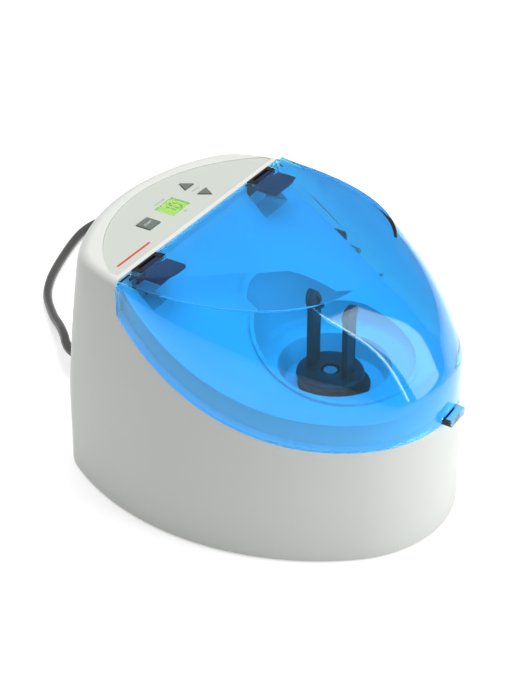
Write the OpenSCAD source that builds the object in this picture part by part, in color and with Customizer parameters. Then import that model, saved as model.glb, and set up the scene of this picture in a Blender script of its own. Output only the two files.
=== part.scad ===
/* [Body] */
// Width of the housing at its foot
body_w = 210; // [202:1:218]
// Depth of the housing, nose to back, at its foot
body_l = 270; // [262:1:280]
// Height of the control panel above the table
body_h = 178; // [174:0.5:184]
// Wall of the housing
wall = 3; // [2:0.1:3.4]
// Radius of the nose in plan
nose_r = 81; // [76:1:86]
// Radius of the long sides in plan
side_r = 185; // [178:1:195]
// Radius of the two back corners in plan
corner_r = 35; // [30:1:40]
// Radius of the back in plan
back_r = 150; // [140:1:165]
// Lean of the outer walls, degrees
draft = 1; // [0.8:0.1:1.6]
// Rounding of the top edge beside the panel
shoulder_side = 6; // [5:0.5:8]
// Rounding of the top edge behind the panel
shoulder_back = 8; // [6:0.5:12]
// How far the back leans in over its upper part
back_tuck = 15; // [10:0.5:18]
// Height where the back starts to lean in
tuck_z = 55; // [45:1:57]
// Gap between the housing's lower edge and the table
skirt_gap = 0.8; // [0.5:0.1:1.5]

/* [Seam and deck] */
// Height of the seam at the nose
seam_z = 86; // [82:0.5:90]
// Distance from the nose to where the seam starts to rise
seam_flat = 25; // [15:1:35]
// Radius of the seam's rise, seen from the side
seam_r = 225; // [215:1:240]
// Slit between housing and lid
seam_gap = 0.6; // [0.5:0.1:1]
// Height of the deck over the seam
deck_rise = 15; // [12:0.5:17]
// Step in from the outer wall to the deck's side
deck_step = 10; // [9.5:0.5:12]

/* [Lid] */
// Wall of the lid
lid_t = 2.6; // [2.2:0.1:3]
// Height of the lid's upright band at the nose
band_nose = 32; // [28:1:35]
// Height of the lid's upright band at the hinge
band_back = 18; // [15:1:20]
// Distance in from the outer wall to the flat top at the nose
top_in_nose = 58; // [52:1:64]
// Distance in from the outer wall to the flat top at the hinge
top_in_back = 6; // [5:0.5:8]
// Fall of the flat top towards the nose, degrees
top_fall = 1.3; // [0:0.1:2.4]
// Swell of the sloping front
lid_swell = 9; // [4:0.5:10]
// Width of the finger tab
tab_w = 18; // [14:1:22]
// Reach of the finger tab past the nose
tab_out = 5; // [4:0.5:5.5]
// Thickness of the finger tab
tab_h = 5; // [4:0.5:6]

/* [Hinge] */
// Distance from the nose to the wall behind the hinge
hinge_back = 186.5; // [184:0.5:190]
// Gap between the lid's back edge and that wall
hinge_gap = 1.7; // [1.6:0.1:2.2]
// Radius of the hinge barrels
barrel_r = 2.4; // [2.2:0.1:2.5]
// Radius of the hinge pins
pin_r = 1; // [0.9:0.1:1.2]
// Width of one hinge
hinge_w = 26; // [24:1:30]
// Distance of each hinge from the middle plane
hinge_x = 67; // [62:1:70]
// Width of the lid's part of each hinge
arm_w = 17; // [14:1:18]
// Reach of the hinge arm under the lid
arm_reach = 16; // [12:1:22]
// Thickness of the hinge arm
arm_t = 2.6; // [2:0.1:3]
// Gap between the hinge's fixed and moving parts
hinge_play = 0.35; // [0.3:0.05:0.5]

/* [Well] */
// Distance from the nose to the well's middle
well_back = 85.5; // [83:0.5:88]
// Radius of the well's rim
well_r = 55; // [53:0.5:56]
// Height of the lip over the deck
lip = 2; // [1:0.5:3]
// Height of the ledge in the well
ledge_z = 98; // [97:0.5:100]
// Radius of the ledge's inner edge
ledge_r = 37; // [36:0.5:39]
// Height of the well's floor
floor_z = 82; // [81:0.5:82.5]
// Radius of the floor's hole
floor_hole = 20; // [18:0.5:21]
// Wall of the well
well_t = 2.5; // [2:0.1:2.5]

/* [Shaker] */
// Distance from the nose to the fork's middle
fork_back = 88.5; // [86.5:0.5:90.5]
// Height of the motor shaft
shaft_z = 45; // [44:0.5:46]
// Rocking of the shaker arm to each side, degrees
rock = 6; // [4:0.5:6.5]
// Outer radius of the fork's ring
ring_r = 22.5; // [20:0.5:23]
// Radius of the hole in the fork's ring
ring_hole = 6.5; // [5:0.5:8]
// Height of the fork ring's underside
ring_z = 87; // [86.5:0.5:88]
// Thickness of the fork's ring
ring_t = 6; // [4:0.5:7]
// Gap between the two prongs
prong_gap = 22; // [20:1:24]
// Width of a prong
prong_w = 11; // [9:0.5:12]
// Thickness of a prong
prong_t = 4; // [3:0.5:4.5]
// Width of a prong's head
prong_head = 14; // [12:0.5:16]
// Height of the prongs' tops
prong_top = 146; // [138:1:150]
// Radius of the motor shaft
shaft_r = 4; // [3.5:0.25:4.5]
// Radius of the ball seat in the arm's bearing
ball_r = 10; // [9.5:0.25:10.5]
// Gap of the ball seat
ball_play = 0.3; // [0.3:0.05:0.4]

/* [Motor] */
// Radius of the motor can
can_r = 29; // [26:0.5:30]
// Length of the motor can
can_l = 46; // [40:1:50]
// Depth of an end bell
bell_l = 9; // [8:0.5:10]
// Thickness of the chassis sheet
sheet_t = 2; // [1.5:0.25:2.5]
// Height of the chassis sheet's underside
chassis_z = 12; // [11:0.5:12.5]
// Distance from the fork's middle to the chassis upright
upright_back = 26; // [25:0.5:28]

/* [Panel] */
// Distance from the hinge wall to the overlay's front edge
overlay_in = 3.5; // [3:0.5:5]
// Radius of the overlay's back edge
overlay_r = 114; // [105:1:120]
// Distance from the back of the housing to the overlay
overlay_margin = 30.5; // [29:0.5:34]
// Half width of the overlay
overlay_half = 90; // [80:1:91]
// Thickness of the overlay
overlay_t = 0.8; // [0.6:0.1:1]
// Depth of the overlay under the rim round it
overlay_drop = 0.5; // [0.2:0.1:0.6]
// Width of the display window
window_w = 20.4; // [16:0.2:24]
// Depth of the display window
window_d = 15.5; // [12:0.5:17]
// Distance from the hinge wall to the row of keys
row_in = 24; // [22:0.5:26]
// Distance of the start key and of the arrow keys from the window's middle
key_x = 27.5; // [26:0.5:30]
// Width of the start key
start_w = 12; // [10:0.5:13]
// Depth of the start key
start_d = 10.7; // [9:0.5:12]
// Base of an arrow key
arrow_w = 10; // [8:0.5:11]
// Height of an arrow key
arrow_h = 8; // [6:0.5:9]
// Distance between the middles of the arrow keys
arrow_pitch = 18; // [15:0.5:20]
// Gap round a key
key_gap = 0.35; // [0.3:0.05:0.5]
// Travel of a key
key_travel = 0.5; // [0.3:0.1:0.5]

/* [Base and back] */
// Height of the feet under the base plate
foot_h = 3; // [2.5:0.5:5]
// Radius of a foot
foot_r = 9; // [7:0.5:12]
// Thickness of the base plate
plate_t = 2.5; // [2.5:0.1:3]
// Height of the switch's middle
switch_z = 72; // [70:1:76]
// Width of the switch's bezel
bezel_w = 17; // [15:0.5:20]
// Height of the switch's bezel
bezel_h = 23; // [20:0.5:26]
// Height of the fuse holder's axis
fuse_z = 44; // [40:1:46]
// Radius of the fuse holder's flange
fuse_r = 8; // [7:0.5:9]
// Height of the lead's axis at the back
gland_z = 20; // [18:1:23]
// Distance of the lead's axis from the middle plane
gland_x = 8; // [0:1:20]

/* [Lead] */
// Diameter of the mains lead
cord_d = 7; // [6:0.25:7.5]
// Length of the strain relief
relief_l = 28; // [24:1:32]
// Radius of the coil to the middle of its turns
coil_r = 42; // [38:1:44]
// Number of turns in the coil
coil_turns = 5; // [3:1:6]
// Width of the plug
plug_w = 35; // [32:1:38]
// Thickness of the plug
plug_t = 26; // [24:1:28]
// Length of the plug's body
plug_l = 44; // [40:1:50]

/* [Hidden] */

$fn = 64;
// Small clearance between pieces fixed to each other
fit = 0.05;
// Loose clearance between neighbouring pieces
loose = 0.3;

// Places along Y: the finger tab and the back lie equally far from the origin
nose_y = -(body_l - tab_out) / 2;
back_y = nose_y + body_l;
hinge_y = nose_y + hinge_back;
well_y = nose_y + well_back;
fork_y = nose_y + fork_back;
seam_y0 = nose_y + seam_flat;
lid_back_y = hinge_y - hinge_gap;
pin_y = lid_back_y - barrel_r - 0.4;
pin_z = body_h - barrel_r - 0.2;
top_in = body_h - wall;
shell_z = foot_h;

// Plan outline: four arcs to a side, tangent to each other
head1 = asin((body_w / 2 - side_r) / (nose_r - side_r));
function head3(h2) = 180 - asin(((nose_r - side_r) * sin(head1) + (side_r - corner_r) * sin(h2))
    / (back_r - corner_r));
function depth_at(h2) = nose_r * (1 - cos(head1)) + side_r * (cos(head1) - cos(h2))
    + corner_r * (cos(h2) - cos(head3(h2))) + back_r * (cos(head3(h2)) + 1);
function solve_head2(low, high, n, depth) =
    let (mid = (low + high) / 2)
    n == 0 ? mid
    : depth_at(mid) < depth ? solve_head2(mid, high, n - 1, depth) : solve_head2(low, mid, n - 1, depth);
head2 = solve_head2(100, 135, 30, body_l);
heading3 = head3(head2);
top_head2 = solve_head2(100, 135, 30, body_l - back_tuck);
function swing(r, h0, h1) = [r * (sin(h1) - sin(h0)), r * (cos(h0) - cos(h1))];
function plan_of(h, h2, h3) = [0, nose_y]
    + swing(nose_r, 0, min(h, head1))
    + (h > head1 ? swing(side_r, head1, min(h, h2)) : [0, 0])
    + (h > h2 ? swing(corner_r, h2, min(h, h3)) : [0, 0])
    + (h > h3 ? swing(back_r, h3, h) : [0, 0]);
function plan(h) = plan_of(h, head2, heading3);
function lean(z) = z * tan(draft);
function inward(h, d) = plan(h) - d * [sin(h), -cos(h)];
function sag(x) = back_r - sqrt(pow(back_r, 2) - pow(x, 2));
function steps(a, b, n) = [for (i = [0 : n - 1]) a + (b - a) * i / n];
body_heads = concat(steps(0, head1, 8), steps(head1, top_head2, 9), steps(top_head2, heading3, 7),
    steps(heading3, 180, 5), [180]);

// Both halves of a closed ring, from the right half's points
function mirrored(half) = concat(half,
    [for (i = [len(half) - 1 : -1 : 0]) if (abs(half[i].x) > 0.001) [-half[i].x, half[i].y, half[i].z]]);
function flat(points) = [for (p = points) [p.x, p.y]];
function outline(d) = mirrored([for (h = body_heads) let (p = inward(h, d)) [p.x, p.y, 0]]);

// Closed solid through rings of equal length, lowest first
module loft(rings) {
    n = len(rings[0]);
    m = len(rings);
    points = [for (ring = rings) each ring];
    sides = [for (k = [0 : m - 2], i = [0 : n - 1], half = [0, 1])
        let (j = (i + 1) % n, a = k * n + i, b = k * n + j)
        half == 0 ? [a, a + n, b + n] : [a, b + n, b]];
    caps = [[for (i = [0 : n - 1]) i], [for (i = [n - 1 : -1 : 0]) (m - 1) * n + i]];
    polyhedron(points, concat(sides, caps), convexity = 6);
}

// Tube swept along points, closed by flat ends
module sweep(path, r, sides, start, finish) {
    n = len(path);
    dirs = [for (i = [0 : n - 1])
        i == 0 ? start : i == n - 1 ? finish : path[i + 1] - path[i - 1]];
    rings = [for (i = [0 : n - 1])
        let (d = dirs[i] / norm(dirs[i]), s0 = cross(d, [0, 0, 1]), s = s0 / norm(s0), u = cross(s, d))
        [for (k = [0 : sides - 1]) path[i] + r * (cos(360 * k / sides) * s + sin(360 * k / sides) * u)]];
    loft(rings);
}

// Smooth path through hand-placed points
function spline(p, i, t) =
    let (a = p[max(i - 1, 0)], b = p[i], c = p[i + 1], d = p[min(i + 2, len(p) - 1)])
    0.5 * (2 * b + (c - a) * t + (2 * a - 5 * b + 4 * c - d) * t * t + (3 * b - a - 3 * c + d) * t * t * t);
function smooth(p, n) = concat(
    [for (i = [0 : len(p) - 2], k = [0 : n - 1]) spline(p, i, k / n)], [p[len(p) - 1]]);

// Side profile of the seam, lifted by some height
function seam_at(y) = y < seam_y0 ? seam_z : seam_z + seam_r - sqrt(pow(seam_r, 2) - pow(y - seam_y0, 2));
module above_seam(rise, back) {
    reach = 300;
    arc = [for (i = [0 : 24]) let (y = seam_y0 + (back - seam_y0) * i / 24) [y, seam_at(y) + rise]];
    rotate([90, 0, 90]) linear_extrude(body_w + 40, center = true)
        polygon(concat([[-reach, seam_z + rise]], arc, [[back, reach], [-reach, reach]]));
}
// Prism of the outline, closed above by the lifted seam and behind by a plane
module seam_block(d, rise, back) intersection() {
    translate([0, 0, seam_z - wall - 1]) linear_extrude(body_h) polygon(flat(outline(d)));
    difference() {
        translate([-body_w, -body_l, 0]) cube([2 * body_w, body_l + back, 2 * body_h]);
        above_seam(rise, back + 1);
    }
}

// Rings of the housing: a wall whose upper part leans in at the back, then a rounding
side_mid_y = plan(90).y;
tuck_power = 1.3;
wall_levels = [0, 0.16, 0.33, 0.5, 0.66, 0.8];
function blend(t) = let (s = min(max(t, 0), 1)) s * s * (3 - 2 * s);
function tucked(h, z) = (plan_of(h, top_head2, head3(top_head2)) - plan(h))
    * pow(max(z - tuck_z, 0) / (body_h - tuck_z), tuck_power);
function shoulder(h) = shoulder_side
    + (shoulder_back - shoulder_side) * blend((plan(h).y - hinge_y) / (back_y - hinge_y));
function housing_ring(z, d) = mirrored([for (h = body_heads)
    let (p = inward(h, d + lean(z)) + tucked(h, z)) [p.x, p.y, z]]);
function shoulder_ring(a, d) = mirrored([for (h = body_heads)
    let (r = max(shoulder(h) - d, 1), z = body_h - d - r * (1 - sin(a)),
        p = inward(h, d + lean(body_h) + r * (1 - cos(a))) + tucked(h, z)) [p.x, p.y, z]]);
module housing_form(d, z0) {
    loft(concat(
        [housing_ring(z0, d)],
        [for (t = wall_levels) housing_ring(tuck_z + (body_h - tuck_z) * t, d)],
        [for (a = [0 : 18 : 90]) shoulder_ring(a, d)]));
}

// Screw bosses stand against the wall at these headings, foot pads a little further in
boss_r = 5;
boss_heads = [34, 112];
foot_heads = [26, 122];
screw_r = 1.5;
boss_top = 22;
function boss_at(h) = inward(h, wall + boss_r - 0.5);
module both_sides(heads) {
    for (h = heads, s = [-1, 1]) translate([s * boss_at(h).x, boss_at(h).y, 0]) children();
}
module at_feet() {
    for (h = foot_heads, s = [-1, 1]) {
        p = inward(h, wall + foot_r + 8);
        translate([s * p.x, p.y, 0]) children();
    }
}

// Places on the panel
row_y = hinge_y + row_in;
up_y = row_y + arrow_pitch / 2;
down_y = row_y - arrow_pitch / 2;
overlay_y0 = hinge_y + overlay_in;
overlay_back = back_y - overlay_margin;
overlay_clear = 0.2;
overlay_top = body_h - overlay_drop;
module overlay_shape(grow) {
    intersection() {
        translate([0, overlay_back - overlay_r]) circle(overlay_r + grow, $fn = 180);
        translate([-overlay_half - grow, overlay_y0 - grow]) square([2 * (overlay_half + grow), 200]);
    }
}
module window_shape(grow) {
    translate([0, row_y]) square([window_w + 2 * grow, window_d + 2 * grow], center = true);
}
module start_shape(grow) {
    translate([-key_x, row_y]) square([start_w + 2 * grow, start_d + 2 * grow], center = true);
}
// Triangle whose sides all lie outside the plain one by the same distance
module arrow_shape(y, up, grow) {
    slope = atan2(arrow_h, arrow_w / 2);
    extra_w = grow / tan(slope / 2);
    extra_top = grow / cos(slope);
    translate([key_x, y]) mirror([0, up ? 0 : 1]) polygon([
        [-arrow_w / 2 - extra_w, -arrow_h / 2 - grow], [arrow_w / 2 + extra_w, -arrow_h / 2 - grow],
        [0, arrow_h / 2 + extra_top]]);
}
module key_shapes(grow) {
    start_shape(grow);
    arrow_shape(up_y, true, grow);
    arrow_shape(down_y, false, grow);
}

// Back wall: flat seats are sunk into the curved, leaning wall
seat = 0.9;
switch_y = back_y - lean(switch_z) + tucked(180, switch_z).y - seat;
fuse_y = back_y - lean(fuse_z) - seat;
gland_hole = 6.5;
gland_flange = 9;
gland_y = back_y - sag(gland_x + gland_flange) - lean(gland_z) - 0.1;
switch_body_w = bezel_w - 4;
switch_body_h = bezel_h - 4;
fuse_body_r = fuse_r - 2;
plunger_r = 2.2;
plunger_x = -hinge_x;
plunger_z = body_h - 18;

// Shelves cut into the deck's slope in front of the hinge wall, one to each hinge
pocket_side = 1;
pocket_d = 20;
pocket_z = plunger_z - 6;
module pockets(grow) at_hinges()
    translate([-hinge_w / 2 - pocket_side - grow, hinge_y - pocket_d - grow, pocket_z - grow])
        cube([hinge_w + 2 * (pocket_side + grow), pocket_d + grow, body_h]);

module housing() color([0.87, 0.88, 0.86]) difference() {
    union() {
        difference() {
            union() {
                difference() {
                    housing_form(0, skirt_gap);
                    above_seam(0, hinge_y);
                }
                // Raised deck, open below to the main hollow
                seam_block(deck_step, deck_rise, hinge_y + 1);
            }
            difference() {
                housing_form(wall, skirt_gap - 1);
                above_seam(-wall, hinge_y + wall);
            }
            difference() {
                seam_block(deck_step + wall, deck_rise - wall, hinge_y);
                pockets(wall - 1);
            }
            intersection() {
                pockets(0);
                above_seam(-1, hinge_y);
            }
        }
        both_sides(boss_heads) translate([0, 0, shell_z + plate_t + fit]) cylinder(h = boss_top, r = boss_r);
    }
    both_sides(boss_heads) translate([0, 0, shell_z]) cylinder(h = boss_top, r = screw_r + fit);
    translate([0, well_y, floor_z]) cylinder(h = body_h, r = well_r + fit);
    // Panel: recess for the overlay, window and keyways
    translate([0, 0, overlay_top - overlay_t]) linear_extrude(2 * overlay_t + 1) overlay_shape(overlay_clear);
    translate([0, 0, body_h - 2 * wall]) linear_extrude(3 * wall) {
        window_shape(fit);
        key_shapes(key_gap);
    }
    // Seats and holes in the back wall
    translate([-bezel_w / 2 - fit, switch_y, switch_z - bezel_h / 2 - fit])
        cube([bezel_w + 2 * fit, 10, bezel_h + 2 * fit]);
    translate([-switch_body_w / 2 - fit, switch_y - 10, switch_z - switch_body_h / 2 - fit])
        cube([switch_body_w + 2 * fit, 20, switch_body_h + 2 * fit]);
    translate([0, fuse_y, fuse_z]) rotate([-90, 0, 0]) cylinder(h = 10, r = fuse_r + fit);
    translate([0, fuse_y - 10, fuse_z]) rotate([-90, 0, 0]) cylinder(h = 20, r = fuse_body_r + fit);
    translate([gland_x, gland_y, gland_z]) rotate([-90, 0, 0]) cylinder(h = 10, r = gland_flange + fit);
    translate([gland_x, gland_y - 10, gland_z]) rotate([-90, 0, 0]) cylinder(h = 20, r = gland_hole + fit);
    // Bore for the lid switch's plunger
    translate([plunger_x, hinge_y - 5, plunger_z]) rotate([-90, 0, 0]) cylinder(h = 15, r = plunger_r + 0.08);
}

// Plate that closes the housing from below, with slots for cooling air
vent_n = 9;
vent_l = 34;
vent_w = 3;
module base_plate() color([0.80, 0.81, 0.79]) difference() {
    translate([0, 0, shell_z]) linear_extrude(plate_t)
        polygon(flat(outline(wall + loose + lean(shell_z + plate_t))));
    both_sides(boss_heads) {
        translate([0, 0, shell_z - 1]) cylinder(h = 2 * plate_t + 2, r = screw_r + 0.3);
        translate([0, 0, shell_z - 1]) cylinder(h = 2.4, r = 3.2);
    }
    at_feet() translate([0, 0, shell_z - 1]) cylinder(h = plate_t + 2, r = 3.3);
    for (i = [0 : vent_n - 1])
        translate([(i - (vent_n - 1) / 2) * 3 * vent_w - vent_w / 2, back_y - 68, shell_z - 1])
            cube([vent_w, vent_l, plate_t + 2]);
}

module rubber_feet() color([0.12, 0.12, 0.12]) at_feet() {
    cylinder(h = foot_h, r = foot_r);
    translate([0, 0, foot_h]) cylinder(h = plate_t + fit, r = 3.2);
    translate([0, 0, foot_h + plate_t + fit]) cylinder(h = 2, r1 = 4.6, r2 = 3);
}

module base_screws() color([0.6, 0.6, 0.62]) both_sides(boss_heads) difference() {
    union() {
        translate([0, 0, shell_z + 0.1]) cylinder(h = 1.25, r = 3);
        translate([0, 0, shell_z + 1]) cylinder(h = boss_top - 4, r = screw_r);
    }
    translate([0, 0, shell_z - 1]) cylinder(h = 1.9, r = 1.2, $fn = 6);
}

module control_overlay() color([0.85, 0.87, 0.84])
    translate([0, 0, overlay_top - overlay_t]) linear_extrude(overlay_t) difference() {
        overlay_shape(0);
        window_shape(0);
        key_shapes(key_gap);
    }

// Display: clear window over a module that stands on the board
window_t = 1.6;
glass_in = 0.4;
board_z = body_h - 11.6;
board_t = 1.6;
board_top = board_z + board_t;
module lcd_window() color([0.75, 0.9, 0.7, 0.5]) translate([0, 0, overlay_top - window_t])
    linear_extrude(window_t - 0.1) window_shape(-0.1);

module display_module() color([0.45, 0.62, 0.25]) {
    translate([-window_w / 2 - 2, row_y - window_d / 2 - 2, board_top + fit])
        cube([window_w + 4, window_d + 4, top_in - board_top - 0.2]);
    translate([0, 0, top_in - 0.2]) linear_extrude(wall - overlay_drop - window_t + 0.1) window_shape(-glass_in);
}

board_w = 90;
board_d = 36;
board_y = row_y - board_d / 2;
spacer_in = 5;
module board_corners() {
    for (x = [-1, 1], y = [spacer_in, board_d - spacer_in])
        translate([x * (board_w / 2 - spacer_in), board_y + y, 0]) children();
}
module control_board() color([0.1, 0.4, 0.2]) difference() {
    translate([-board_w / 2, board_y, board_z]) cube([board_w, board_d, board_t]);
    board_corners() translate([0, 0, board_z - 1]) cylinder(h = board_t + 2, r = 1.4);
}
module board_spacers() color([0.85, 0.85, 0.85]) board_corners() difference() {
    translate([0, 0, board_top + fit]) cylinder(h = top_in - board_top - 2 * fit, r = 3);
    translate([0, 0, board_top - 1]) cylinder(h = 6, r = 1.25);
}
module board_screws() color([0.6, 0.6, 0.62]) board_corners() {
    translate([0, 0, board_z - 1.6]) cylinder(h = 1.6 - fit, r = 2.4);
    translate([0, 0, board_z - 1]) cylinder(h = board_t + 4, r = 1.2);
}

// Keys: cap through the panel, flange under it, switch on the board
flange_t = 1.2;
key_drop = 5;
key_foot = body_h - key_drop;
key_proud = 0.3;
tact_h = key_foot - key_travel - 0.4 - board_top;
module key_body() {
    translate([0, 0, key_foot]) linear_extrude(key_drop + key_proud) children(0);
    translate([0, 0, key_foot]) linear_extrude(flange_t) children(1);
}
module start_key() color([0.45, 0.48, 0.46]) key_body() {
    start_shape(0);
    start_shape(1);
}
module up_key() color([0.42, 0.45, 0.43]) key_body() {
    arrow_shape(up_y, true, 0);
    arrow_shape(up_y, true, 0.8);
}
module down_key() color([0.42, 0.45, 0.43]) key_body() {
    arrow_shape(down_y, false, 0);
    arrow_shape(down_y, false, 0.8);
}
module tact_switches() color([0.15, 0.15, 0.15]) {
    for (p = [[-key_x, row_y], [key_x, up_y], [key_x, down_y]]) translate([p.x, p.y, board_top + fit]) {
        translate([-3, -3, 0]) cube([6, 6, tact_h - 1]);
        translate([0, 0, 1]) cylinder(h = tact_h - 1 - fit, r = 1.7);
    }
}

// Stepped well, its rim cut to the deck's slope
well_low = ledge_r - 3;
module mixing_well() color([0.86, 0.88, 0.87]) difference() {
    translate([0, well_y, 0]) rotate_extrude($fn = 96)
        polygon([
            [floor_hole, floor_z - well_t], [well_low + well_t, floor_z - well_t],
            [ledge_r + well_t, ledge_z - well_t], [well_r - 3, ledge_z - well_t],
            [well_r, ledge_z + 3], [well_r, body_h], [well_r - well_t, body_h],
            [well_r - well_t, ledge_z + 4], [well_r - 4 - well_t, ledge_z], [ledge_r, ledge_z],
            [well_low, floor_z], [floor_hole, floor_z]]);
    above_seam(deck_rise + lip, hinge_y + 40);
}

boot_r = 12;
module rubber_boot() color([0.1, 0.1, 0.1]) translate([0, well_y, 0]) difference() {
    union() {
        translate([0, 0, floor_z - well_t]) cylinder(h = well_t + 0.5, r = floor_hole - fit);
        translate([0, 0, floor_z + fit]) cylinder(h = 1.2, r = floor_hole + 4);
    }
    translate([0, fork_y - well_y, floor_z - 2 * well_t]) cylinder(h = 4 * well_t, r = boot_r);
}

// Lid: upright band, swelling front, flat top with a rounded front edge.
// Its rings share one measure u, from 0 at the nose to 1 at the hinge, and run on past the
// hinge end by a tail that the back cut takes off.
lid_n = 20;
lid_tail = 8;
top_power = 2.4;
function top_height(y) = body_h - (lid_back_y - y) * tan(top_fall);
function end_head(d) = acos((side_mid_y - lid_back_y) / (side_r - d));
function band(u) = band_nose + (band_back - band_nose) * u;
function upright_point(u, d, rise) =
    let (z_end = seam_at(lid_back_y) + rise, h = u * end_head(lean(z_end) + d),
        z = seam_at(plan(h).y) + rise, p = inward(h, lean(z) + d)) [p.x, p.y, z];
function crease_point(u, d) = upright_point(u, d + 0.6, band(u) - 0.4 * d);
function top_point(u, d) =
    let (v = 90 * pow(u, 1.3), a = inward(end_head(0), top_in_back).x - 0.7 * d,
        b = lid_back_y - nose_y - top_in_nose - 0.7 * d,
        y = lid_back_y - b * pow(cos(v), 2 / top_power))
    [a * pow(sin(v), 2 / top_power), y, top_height(y) - d];
function between(a, b, t, u) =
    let (p = a + (b - a) * t, s = lid_swell * sin(180 * t) * (1 - 0.7 * u), h = 108 * u)
    [p.x + 0.6 * s * sin(h), p.y - 0.6 * s * cos(h), p.z + 0.8 * s];
function lid_half(t, d) = [for (i = [0 : lid_n]) let (u = i / lid_n)
    t < 0 ? upright_point(u, d, seam_gap) : between(crease_point(u, d), top_point(u, d), t, u)];
function lid_ring(t, d) = let (half = lid_half(t, d), q = half[lid_n], more = lid_tail - 1.5 * d)
    mirrored(concat(half, [[q.x, q.y + more, q.z + more * tan(top_fall)]]));
// Skin of the lid from its lower edge to the rim of its flat top
function lid_skin(d) = [for (t = [-1, 0, 0.33, 0.67, 1]) lid_ring(t, d)];
module lid_shell() {
    inside = lid_skin(lid_t);
    loft(concat([for (k = [len(inside) - 1 : -1 : 0]) inside[k]], lid_skin(0)));
}
notch_clear = 0.5;
module lid() color([0.12, 0.55, 0.95, 0.55]) {
    difference() {
        lid_shell();
        translate([-body_w, lid_back_y, 0]) cube([2 * body_w, body_l, 2 * body_h]);
        at_hinges() translate([-hinge_w / 2 - notch_clear, pin_y - barrel_r - notch_clear, pin_z - 5])
            cube([hinge_w + 2 * notch_clear, 20, 20]);
    }
    tab_z = seam_z + seam_gap;
    translate([-tab_w / 2, nose_y - tab_out, tab_z])
        cube([tab_w, tab_out + lean(tab_z) + lid_t / 2, tab_h]);
}

module at_hinges() {
    for (s = [-1, 1]) translate([s * hinge_x, 0, 0]) children();
}
tongue_w = 6;
tongue_t = 2;
tongue_gap = 2.3;
module hinge_arms() color([0.06, 0.06, 0.08]) {
    front = pin_y - arm_reach - barrel_r;
    plate_z = top_height(front) - lid_t - fit - arm_t;
    at_hinges() difference() {
        union() {
            translate([-arm_w / 2, pin_y, pin_z]) rotate([0, 90, 0]) cylinder(h = arm_w, r = barrel_r);
            translate([-arm_w / 2, front, plate_z]) cube([arm_w, arm_reach + barrel_r - pin_r - loose, arm_t]);
            translate([-hinge_w / 2, front, plate_z]) cube([hinge_w, arm_reach - notch_clear - 1, arm_t]);
        }
        translate([-arm_w, pin_y, pin_z]) rotate([0, 90, 0]) cylinder(h = 2 * arm_w, r = pin_r + fit);
    }
    // Tongue that pushes the lid switch's plunger
    translate([plunger_x - tongue_w / 2, hinge_y - tongue_gap - tongue_t, plunger_z - 4])
        cube([tongue_w, tongue_t, pin_z - plunger_z + 4 - barrel_r / 2]);
}
bracket_t = 1.5;
bracket_h = 12;
module hinge_brackets() color([0.07, 0.07, 0.08]) at_hinges() difference() {
    union() {
        translate([-hinge_w / 2, hinge_y - fit - bracket_t, pin_z + barrel_r - bracket_h])
            cube([hinge_w, bracket_t, bracket_h]);
        for (s = [-1, 1]) {
            ear = (hinge_w - arm_w) / 2 - hinge_play;
            x0 = s > 0 ? hinge_w / 2 - ear : -hinge_w / 2;
            translate([x0, pin_y, pin_z]) rotate([0, 90, 0]) cylinder(h = ear, r = barrel_r);
            translate([x0, pin_y, pin_z - barrel_r]) cube([ear, hinge_y - fit - pin_y, 2 * barrel_r]);
        }
    }
    translate([-hinge_w, pin_y, pin_z]) rotate([0, 90, 0]) cylinder(h = 2 * hinge_w, r = pin_r + fit);
}
module hinge_pins() color([0.75, 0.75, 0.77]) at_hinges()
    translate([-hinge_w / 2, pin_y, pin_z]) rotate([0, 90, 0]) cylinder(h = hinge_w, r = pin_r);

// Lid switch behind the hinge wall
plunger_travel = 1.5;
plunger_front = hinge_y - 2;
plunger_l = 6.5;
module switch_plunger() color([0.75, 0.1, 0.1]) translate([plunger_x, plunger_front, plunger_z])
    rotate([-90, 0, 0]) cylinder(h = plunger_l, r = plunger_r);
module lid_switch() color([0.15, 0.15, 0.16]) translate([plunger_x, 0, plunger_z]) {
    y0 = plunger_front + plunger_l + plunger_travel + 0.4;
    translate([-8, y0, -10]) cube([16, 9, 14]);
    for (x = [-5.5, 5.5]) translate([x, hinge_y + wall + fit, -6]) rotate([-90, 0, 0])
        cylinder(h = y0 - hinge_y - wall + 1, r = 2);
}

// Fork: a ring with a web in its hole, two flat prongs and a shallow seat in each prong's head
arm_y = fork_y;
ring_web = 2;
fork_bore = 2;
module prong(s) {
    y0 = s > 0 ? prong_gap / 2 : -prong_gap / 2 - prong_t;
    head_z = prong_top - prong_head / 2;
    translate([-prong_w / 2, y0, ring_z + 1]) cube([prong_w, prong_t, head_z - ring_z - 1]);
    translate([0, y0, head_z]) rotate([-90, 0, 0]) cylinder(h = prong_t, r = prong_head / 2);
}
module capsule_fork() color([0.07, 0.07, 0.08]) translate([0, arm_y, 0]) difference() {
    union() {
        rotate_extrude($fn = 96) {
            translate([fork_bore, ring_z]) square([ring_hole + 1 - fork_bore, ring_web]);
            translate([ring_hole, ring_z]) square([ring_r - ring_t / 2 - ring_hole, ring_t]);
            translate([ring_r - ring_t / 2, ring_z + ring_t / 2]) circle(ring_t / 2, $fn = 32);
        }
        for (s = [-1, 1]) prong(s);
    }
    for (s = [-1, 1]) translate([0, s * prong_gap / 2, prong_top - prong_head / 2]) rotate([-90 * s, 0, 0])
        translate([0, 0, -1]) cylinder(h = 2, r = prong_head / 2 - 2.5);
}

hub_r = 18;
arm_flange = 1.5;
hub_w = 10;
race_r = 14;
stem_x = 12;
stem_y = 9;
ear_y = 14;
ear_t = 3;
ear_z = shaft_z - hub_r - ear_t;
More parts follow.
